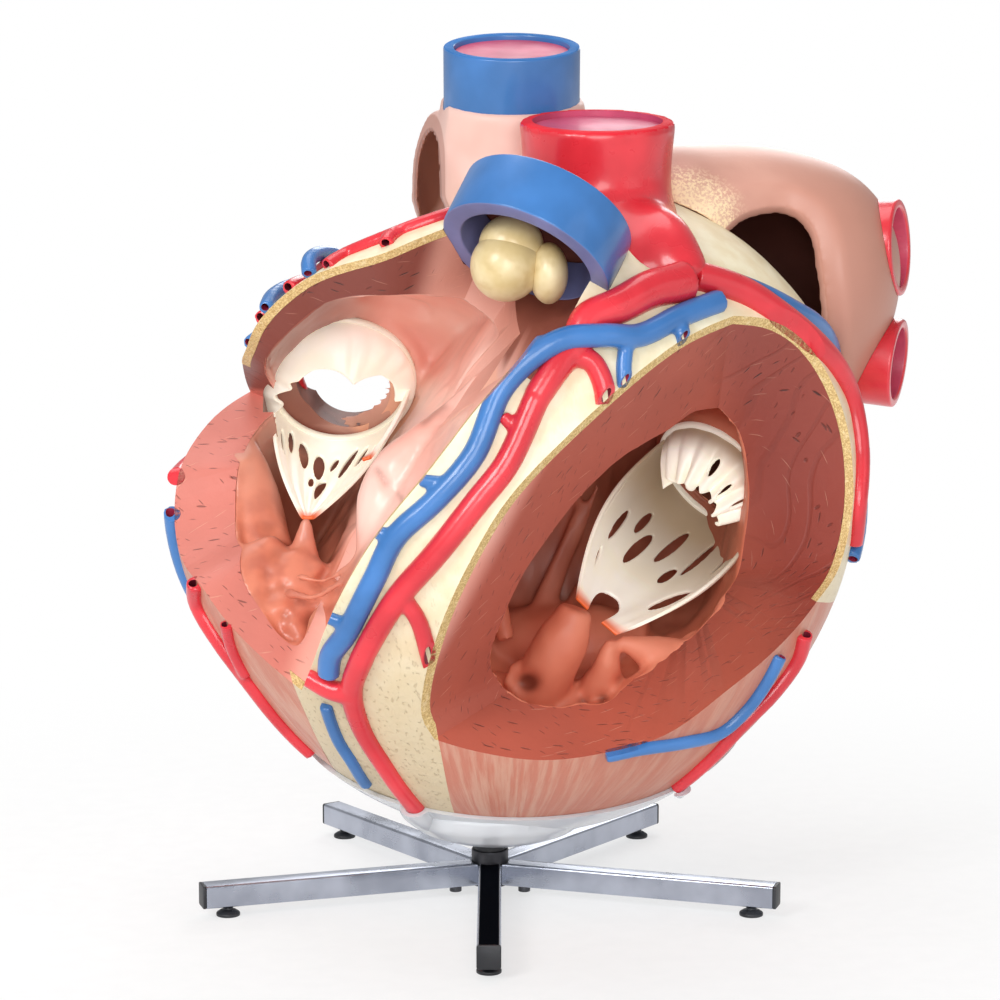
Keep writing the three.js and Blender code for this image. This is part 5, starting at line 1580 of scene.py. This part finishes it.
# Each vessel has its colour and its runs. A run is a row of (longitude, latitude, extra height)
# places on the skin, its radii from end to end, and the end that is cut open, if one is.
VESSELS = {
    "great_cardiac_vein": ("vein", [
        ([(54.5, 44), (42, 43.5), (30.5, 41.5, 2), (20.5, 41, 15), (10.5, 40.5, 12), (-2, 34),
          (-8.5, 21.5), (-16, 12.5), (-24, 4.5), (-28.5, -4), (-36, -15.5), (-41, -20.5),
          (-43.5, -25)], (15, 14.5), ""),
        ([(10.5, 40.5, 12), (5, 40.5, 4), (1, 40)], (10, 8), ""),
        ([(-2, 34), (-6, 32.5)], (10, 8), ""),
        ([(-13, 15.5), (-19.5, 16)], (10, 8), ""),
        ([(-24, 4.5), (-28, 5.5)], (10, 8), ""),
        ([(-35, -14), (-39.5, -12)], (10, 8), ""),
        ([(27, 41, 4), (25.5, 37, 1), (25, 33)], (10, 10), "end"),
        ([(42, 43.5), (41.5, 41), (41, 38)], (10, 10), "end"),
    ]),
    "front_descending_artery": ("artery", [
        ([(48, 49, 2), (44, 49, 2), (37, 49, 2), (27, 47), (18, 45, -4), (15, 41.5, -8),
          (10, 37.5, -3), (5, 32)], (26, 17), ""),
        ([(5, 32), (-1.5, 20), (-7.5, 12.5), (-16, 1.5), (-23.5, -7), (-28, -13), (-34, -21)],
         (16.5, 15), ""),
        ([(-34, -21), (-39.5, -29), (-42, -38.5), (-42.5, -51.5), (-46, -63), (-60, -72)],
         (15.5, 14, 12.5, 12, 12, 12), ""),
        ([(12, 39, -2), (17.5, 38, 2), (20, 34.5), (20.5, 30.5)], (13.5, 13.5), "end"),
        ([(-23.5, -7), (-20.5, -13), (-19, -24)], (11, 11), "end"),
        ([(-39.5, -30), (-44, -28.5, 4), (-49, -25.5, 2)], (15, 13, 12), "end"),
        ([(1, 26), (-2.5, 29)], (9, 8), ""),
    ]),
    "circumflex_artery": ("artery", [
        ([(52, 49.5), (62.5, 44), (69, 38), (75.5, 32), (81, 27), (85.5, 21), (85, 13), (82, 4),
          (84, -3)], (20, 11), ""),
    ]),
    "front_vein_tip": ("vein", [
        ([(-49, -33), (-50.5, -37), (-52.5, -42.5), (-54, -48.5), (-59, -56)], (9, 9), ""),
    ]),
    "coronary_sinus": ("vein", [
        ([(60, 47.5), (68, 43), (76, 38), (86, 33), (98, 26), (120, 14), (150, 6)], (12, 12), ""),
    ]),
    "back_vein": ("vein", [([(160, 4), (168, -8), (170, -24), (170, -42)], (10, 10), "")]),
    "left_margin_artery": ("artery", [
        ([(70, -17.5), (72.5, -23), (70.5, -30), (66.5, -37), (66, -46), (68, -56)], (12, 10), "start"),
    ]),
    "left_side_vein": ("vein", [
        ([(64.5, -21.5), (64.5, -28), (63.5, -33.5), (60, -39), (50, -41.8), (37.5, -44.3),
          (28, -47)], (10, 9), "start"),
    ]),
    "left_margin_vein": ("vein", [([(85, -5.5), (88, -2), (93, 4), (98, 12)], (13, 13), "start")]),
    "right_coronary_artery": ("artery", [
        ([(-8, 77), (-30, 68.5), (-46, 61.5), (-60, 56), (-74, 51), (-90, 46), (-106, 38), (-121, 27),
          (-136, 12), (-152, 0), (-176, -10), (-181, -26), (-181, -46)], (10, 10), ""),
        ([(-44, 62.5), (-43, 59, 2), (-41.5, 57.5)], (10, 10), "end"),
        ([(-60, 56), (-58, 53), (-57, 51.2)], (10, 10), "end"),
        ([(-76, 50.5), (-69, 47.5), (-65.5, 45.5)], (10, 10), "end"),
        ([(-90, 46), (-79, 42), (-73.5, 39.5)], (10, 10), "end"),
    ]),
    "rim_vein_1": ("vein", [
        ([(-82, 59), (-72, 55, 19), (-64.5, 51, 16), (-61, 48.8, 1)], (10, 10), "end"),
    ]),
    "rim_vein_2": ("vein", [
        ([(-96, 51), (-85, 47.8, 19), (-76, 44, 14), (-69.5, 41, 1)], (10, 10), "end"),
    ]),
    "rim_vein_3": ("vein", [
        ([(-104, 44, 14), (-97, 40, 12), (-90, 37, 2), (-85, 34.8)], (10, 10), "end"),
    ]),
    "right_margin_artery": ("artery", [
        ([(-72.5, -8), (-77, -13), (-75.5, -20), (-74, -28), (-76, -38), (-78, -48)],
         (12, 10), "start"),
        ([(-66, -15), (-69.5, -20.5), (-72.5, -27)], (9, 9), "start"),
    ]),
    "right_side_artery": ("artery", [
        ([(-84, 10.5), (-88, 8), (-96, 9), (-105, 12)], (12.5, 10), "start"),
    ]),
    "right_side_vein": ("vein", [
        ([(-86, 2.5), (-88, -2), (-90, -12), (-94, -22)], (11.8, 11.8), "start"),
    ]),
}


def mouth_tool(places, radii, which, look):
    """A bore that follows the last stretch of a vessel and leaves by its cut end."""
    line = route(places, radii)
    if which == "start":
        line = line[::-1]
    radius = radii[0] if which == "start" else radii[-1]
    line = np.vstack([line[-min(6, len(line) - 1):], line[-1] + unit(line[-1] - line[-3]) * 12])
    line = line + unit_rows(line - HEART.centre) * radius * 0.26
    return paint_with(hose("mouth", line, [radius * 0.5] * 2, 24), paint(look))


class HEART_OT_surface_vessels(bpy.types.Operator):
    """Lays the arteries and veins over the heart, with open mouths where they are cut"""

    bl_idname = "heart.surface_vessels"
    bl_label = "Surface vessels"

    def execute(self, context):
        cutters = windows("fat_cut")
        for node, (colour, runs) in VESSELS.items():
            parts = [
                hose(f"{node}_{i}", route(places, radii), radii)
                for i, (places, radii, _) in enumerate(runs)
            ]
            piece = combine(node + "_tube", parts)
            soften(piece, 2.8, 4)
            paint_with(piece, paint(colour))
            for tool in cutters:
                paint_with(tool, paint(colour))
                carve(piece, tool, keep=True)
            for places, radii, which in runs:
                if which:
                    carve(piece, mouth_tool(places, radii, which, colour + "_bore"))
            finish(piece, "heart", node, slot=VESSEL_SLOTS[colour], angle=50)
        for tool in cutters:
            bpy.data.objects.remove(tool)
        return {"FINISHED"}


CUP_FLOOR = 72.35
# The runs of vessels that go down into the cup
LOW_RUNS = (
    ("front_descending_artery", 2), ("front_vein_tip", 0), ("right_margin_artery", 0),
    ("left_margin_artery", 0), ("back_vein", 0), ("right_coronary_artery", 0),
)


class HEART_OT_cup(bpy.types.Operator):
    """Moulds the clear cup under the heart"""

    bl_idname = "heart.cup"
    bl_label = "Clear cup"

    def execute(self, context):
        wall = context.scene.heart_sizes.cup_wall * 1000

        def vessels(grow):
            made = []
            for node, i in LOW_RUNS:
                places, radii, _ = VESSELS[node][1][i]
                made.append(hose("low_" + node, route(places, radii, 14), [r + grow for r in radii]))
            return made

        cup = ball("cup_wall", HEART, 6, GAP + wall)
        carve(cup, *vessels(GAP + wall), operation="UNION")
        boss = turned("boss", rounded([
            (0, CUP_FLOOR), (40, CUP_FLOOR), (74, 80), (104, 91), (126, 108), (134, 128), (0, 152),
        ], 6), (8, 0, 0))
        carve(cup, boss, operation="UNION")
        carve(cup, half_space("low_side", [0, 0, 244], [0, 0, -1]), operation="INTERSECT")
        carve(cup, half_space("front_cut", [0, 0, 205], [0, -0.5, 1]))
        carve(cup, half_space("floor_cut", [0, 0, CUP_FLOOR], [0, 0, -1]))
        carve(cup, beside(HEART), *vessels(GAP), rod("peg_hole", PEG_HOLE, 0, 200, sides=32))
        finish(cup, "turning", "clear_cup", slot="clear_plastic", angle=40, look="clear")
        return {"FINISHED"}


LEG_HEIGHT, LEG_WIDTH, LEG_END = 29, 30, 388
BOLT_DISTANCE, FOOT_DISTANCE = 48, 357


class HEART_OT_stand(bpy.types.Operator):
    """Builds the five-legged stand with its hub, post, caps, bolts and feet"""

    bl_idname = "heart.stand"
    bl_label = "Stand"

    def bar(self, name, width, start, end, corner):
        """A square bar along X at the legs' height, with its long edges rounded."""
        bpy.ops.mesh.primitive_cube_add(size=1)
        piece = named(name)
        piece.scale = ((end - start) / 1000, width / 1000, width / 1000)
        piece.location = ((start + end) / 2000, 0, LEG_HEIGHT / 1000)
        settle(piece)
        only(piece)
        bpy.ops.object.mode_set(mode="EDIT")
        bm = bmesh.from_edit_mesh(piece.data)
        for edge in bm.edges:
            a, b = (v.co for v in edge.verts)
            edge.select_set(abs(a.x - b.x) > 1e-4)
        bmesh.update_edit_mesh(piece.data)
        bpy.ops.mesh.select_mode(type="EDGE")
        bpy.ops.mesh.bevel(offset=corner / 1000, segments=4)
        bpy.ops.object.mode_set(mode="OBJECT")
        return piece

    def execute(self, context):
        for i in range(5):
            self.leg(i + 1, math.radians(-90 + 72 * i))
        self.hub()
        return {"FINISHED"}

    def swing(self, piece, angle):
        """Turns a piece about the stand's axis and moves it to where the axis is."""
        c, s = math.cos(angle), math.sin(angle)
        x, y, z = vertices_of(piece).T
        return move_vertices(piece, np.column_stack([x * c - y * s, x * s + y * c, z]) + AXIS / 1000)

    def leg(self, n, angle):
        leg = self.bar(f"leg_tube_{n}", LEG_WIDTH, 20, LEG_END, 3.2)
        carve(leg, self.bar("inside", LEG_WIDTH - 4, 10, LEG_END + 8, 1.4))
        self.swing(leg, angle)
        carve(leg, rod("round_the_hub", 26.2, 0, 100))
        look = "front_chrome" if n == 1 else "chrome"
        finish(leg, "base", f"leg_{n}", slot="chrome", angle=30, look=look)
        cap = self.bar(f"leg_end_{n}", LEG_WIDTH, LEG_END + 0.35, LEG_END + 4.35, 3.2)
        modify(
            cap, "BEVEL", width=0.0008, segments=2, limit_method="ANGLE",
            angle_limit=math.radians(60),
        )
        carve(cap, self.bar("plug", 25.3, 342, 389, 1), operation="UNION")
        self.swing(cap, angle)
        finish(cap, "base", f"leg_cap_{n}", slot="black_plastic", angle=30, look="black_plastic")
        foot = self.turned_here(f"foot_disc_{n}", rounded([
            (0, 0), (15.5, 0), (15.5, 4), (9.5, 8), (6.5, 8), (6.5, 11), (4, 11), (4, 34), (0, 34),
        ], 1.2), FOOT_DISTANCE, angle)
        finish(foot, f"foot_{n}", f"foot_{n}", slot="black_plastic", angle=35, look="black_plastic")
        bolt = self.turned_here(f"leg_screw_{n}", rounded([
            (0, 9.65), (4.6, 9.65), (4.6, 5.65), (8, 5.65), (8, 13.65), (5, 13.65), (5, 31.65),
            (0, 31.65),
        ], 0.8), BOLT_DISTANCE, angle)
        finish(bolt, "base", f"leg_bolt_{n}", slot="grey_metal", angle=35, look="grey_metal")

    def turned_here(self, name, profile, distance, angle):
        point = (distance * math.cos(angle), distance * math.sin(angle), 0)
        return turned(name, profile, point, steps=40)

    def hub(self):
        hub = turned("hub_collar", rounded([
            (0, 12), (24.5, 12), (24.5, 60), (21.3, 60), (21.3, 17), (0, 17),
        ], 1.2))
        finish(hub, "base", "hub", slot="grey_metal", angle=35, look="grey_metal")
        post = turned("post_turned", rounded([
            (0, 17.35), (21, 17.35), (21, 72), (14, 72), (14, 187), (11, 190), (0, 190),
        ], 1))
        finish(post, "turning", "post", slot="black_metal", angle=35, look="black_plastic")


# Places, sizes and heights of the stage are in metres.
CAMERA_PLACE = (-0.0615, -3.7273, 1.0441)
CAMERA_TILT = 90 - 7.908
CAMERA_LENS = 102.8
LAMP_AIM = (0, 0, 0.55)
LAMPS = (
    ("key", (-2.4, -3.2, 2.8), 1.8, 92),
    ("front", (0.2, -4.6, 1.5), 2.4, 86),
    ("fill", (3.4, -2.6, 1.6), 2.6, 12),
    ("top", (-0.4, 0.6, 3.8), 2.4, 34),
    ("back", (0.5, 3.4, 2.4), 2.4, 50),
)


class HEART_OT_stage(bpy.types.Operator):
    """Sets the floor, the lamps and the camera"""

    bl_idname = "heart.stage"
    bl_label = "Stage"

    def execute(self, context):
        self.floor()
        self.sky(context.scene)
        for lamp in LAMPS:
            self.lamp(*lamp)
        self.camera(context.scene)
        context.scene.view_settings.view_transform = "Standard"
        return {"FINISHED"}

    def floor(self):
        """A pale floor that glows towards the camera, so that its far edge is white."""
        bpy.ops.mesh.primitive_plane_add(size=30)
        floor = named("floor")
        look = Look("floor_paint", Roughness=0.85, Specular_IOR_Level=0.1)
        grain = look.noise(30, 3)
        base = look.mix(look.step(grain, 0.3, 0.7), (0.86, 0.86, 0.86), (0.9, 0.9, 0.9))
        look.feed(Base_Color=base, Normal=look.bump(grain, 0.2, 0.2))
        camera = look.node("LightPath", output="Is Camera Ray")
        glossy = look.node("LightPath", output="Is Glossy Ray")
        clear = look.node("LightPath", output="Is Transmission Ray")
        open_floor = 1 - look.near([0, 0, 0], 350, 1600)
        share = (camera + glossy + clear) * (0.62 + open_floor * 0.38)
        glow = look.node("Emission", {"Color": (1, 1, 1, 1), "Strength": 1.0})
        both = look.node("MixShader", {0: share, 1: Signal(look, look.shader.outputs[0]), 2: glow})
        look.tree.links.new(both.socket, look.output.inputs["Surface"])
        paint_with(floor, look.material)

    def sky(self, scene):
        """Soft light from all around, and plain white behind everything for the camera."""
        world = bpy.data.worlds.new("studio")
        scene.world = world
        world.use_nodes = True
        tree = world.node_tree
        back = tree.nodes["Background"]
        white = tree.nodes.new("ShaderNodeBackground")
        for node, strength in ((back, scene.heart_sizes.sky_strength), (white, 1.0)):
            node.inputs["Color"].default_value = (1, 1, 1, 1)
            node.inputs["Strength"].default_value = strength
        path = tree.nodes.new("ShaderNodeLightPath")
        mix = tree.nodes.new("ShaderNodeMixShader")
        tree.links.new(path.outputs["Is Camera Ray"], mix.inputs[0])
        tree.links.new(back.outputs[0], mix.inputs[1])
        tree.links.new(white.outputs[0], mix.inputs[2])
        tree.links.new(mix.outputs[0], tree.nodes["World Output"].inputs["Surface"])

    def camera(self, scene):
        data = bpy.data.cameras.new("camera")
        camera = bpy.data.objects.new("camera", data)
        bpy.context.collection.objects.link(camera)
        camera.location = CAMERA_PLACE
        camera.rotation_euler = (math.radians(CAMERA_TILT), 0, 0)
        data.sensor_width = 36
        data.lens = CAMERA_LENS
        data.clip_end = 60
        scene.camera = camera

    def lamp(self, name, place, size, power):
        data = bpy.data.lights.new(name, "AREA")
        data.shape = "DISK"
        data.size = size
        data.energy = power * bpy.context.scene.heart_sizes.lamp_power
        lamp = bpy.data.objects.new(name, data)
        bpy.context.collection.objects.link(lamp)
        lamp.location = place
        aim = Vector(LAMP_AIM) - Vector(place)
        lamp.rotation_euler = aim.to_track_quat("-Z", "Y").to_euler()


def colour_property(name, description, colour):
    return bpy.props.FloatVectorProperty(
        name=name, description=description, default=colour, subtype="COLOR", size=3, min=0, max=1
    )


class HeartPaint(bpy.types.PropertyGroup):
    artery: colour_property("Artery red", "Paint of the arteries and lung veins", tint(222, 40, 54))
    vein: colour_property("Vein blue", "Paint of the veins and the lung artery", tint(52, 114, 181))


class HeartSizes(bpy.types.PropertyGroup):
    skin_detail: bpy.props.IntProperty(
        name="Skin detail", description="How often the heart's ball is divided", default=6, min=4, max=7
    )
    cup_wall: bpy.props.FloatProperty(
        name="Cup wall", description="Thickness of the clear cup", default=0.006, unit="LENGTH",
        subtype="DISTANCE", min=0.002, max=0.01,
    )
    lamp_power: bpy.props.FloatProperty(
        name="Lamp power", description="Share of the lamps' full power", default=1.0, min=0, max=4
    )
    sky_strength: bpy.props.FloatProperty(
        name="Sky strength", description="Light from all around", default=0.45, min=0, max=2
    )


STEPS = (
    HEART_OT_ventricles, HEART_OT_fat, HEART_OT_atria, HEART_OT_great_vessels, HEART_OT_valves,
    HEART_OT_vein_stubs, HEART_OT_surface_vessels, HEART_OT_cup, HEART_OT_stand, HEART_OT_stage,
)


class HEART_PT_model(bpy.types.Panel):
    bl_label = "Heart model"
    bl_idname = "HEART_PT_model"
    bl_space_type = "VIEW_3D"
    bl_region_type = "UI"
    bl_category = "Heart"

    def draw(self, context):
        layout = self.layout
        for step in STEPS:
            layout.operator(step.bl_idname)
        for group in (context.scene.heart_paint, context.scene.heart_sizes):
            for key in group.bl_rna.properties.keys():
                if key not in ("rna_type", "name"):
                    layout.prop(group, key)


CLASSES = (HeartPaint, HeartSizes, *STEPS, HEART_PT_model)


def register():
    for one in CLASSES:
        bpy.utils.register_class(one)
    bpy.types.Scene.heart_paint = bpy.props.PointerProperty(type=HeartPaint)
    bpy.types.Scene.heart_sizes = bpy.props.PointerProperty(type=HeartSizes)


def unregister():
    del bpy.types.Scene.heart_paint
    del bpy.types.Scene.heart_sizes
    for one in reversed(CLASSES):
        bpy.utils.unregister_class(one)


def main():
    register()
    bpy.ops.heart.ventricles()
    bpy.ops.heart.fat()
    bpy.ops.heart.atria()
    bpy.ops.heart.great_vessels()
    bpy.ops.heart.valves()
    bpy.ops.heart.vein_stubs()
    bpy.ops.heart.surface_vessels()
    bpy.ops.heart.cup()
    bpy.ops.heart.stand()
    bpy.ops.heart.stage()


if __name__ == "__main__":
    main()
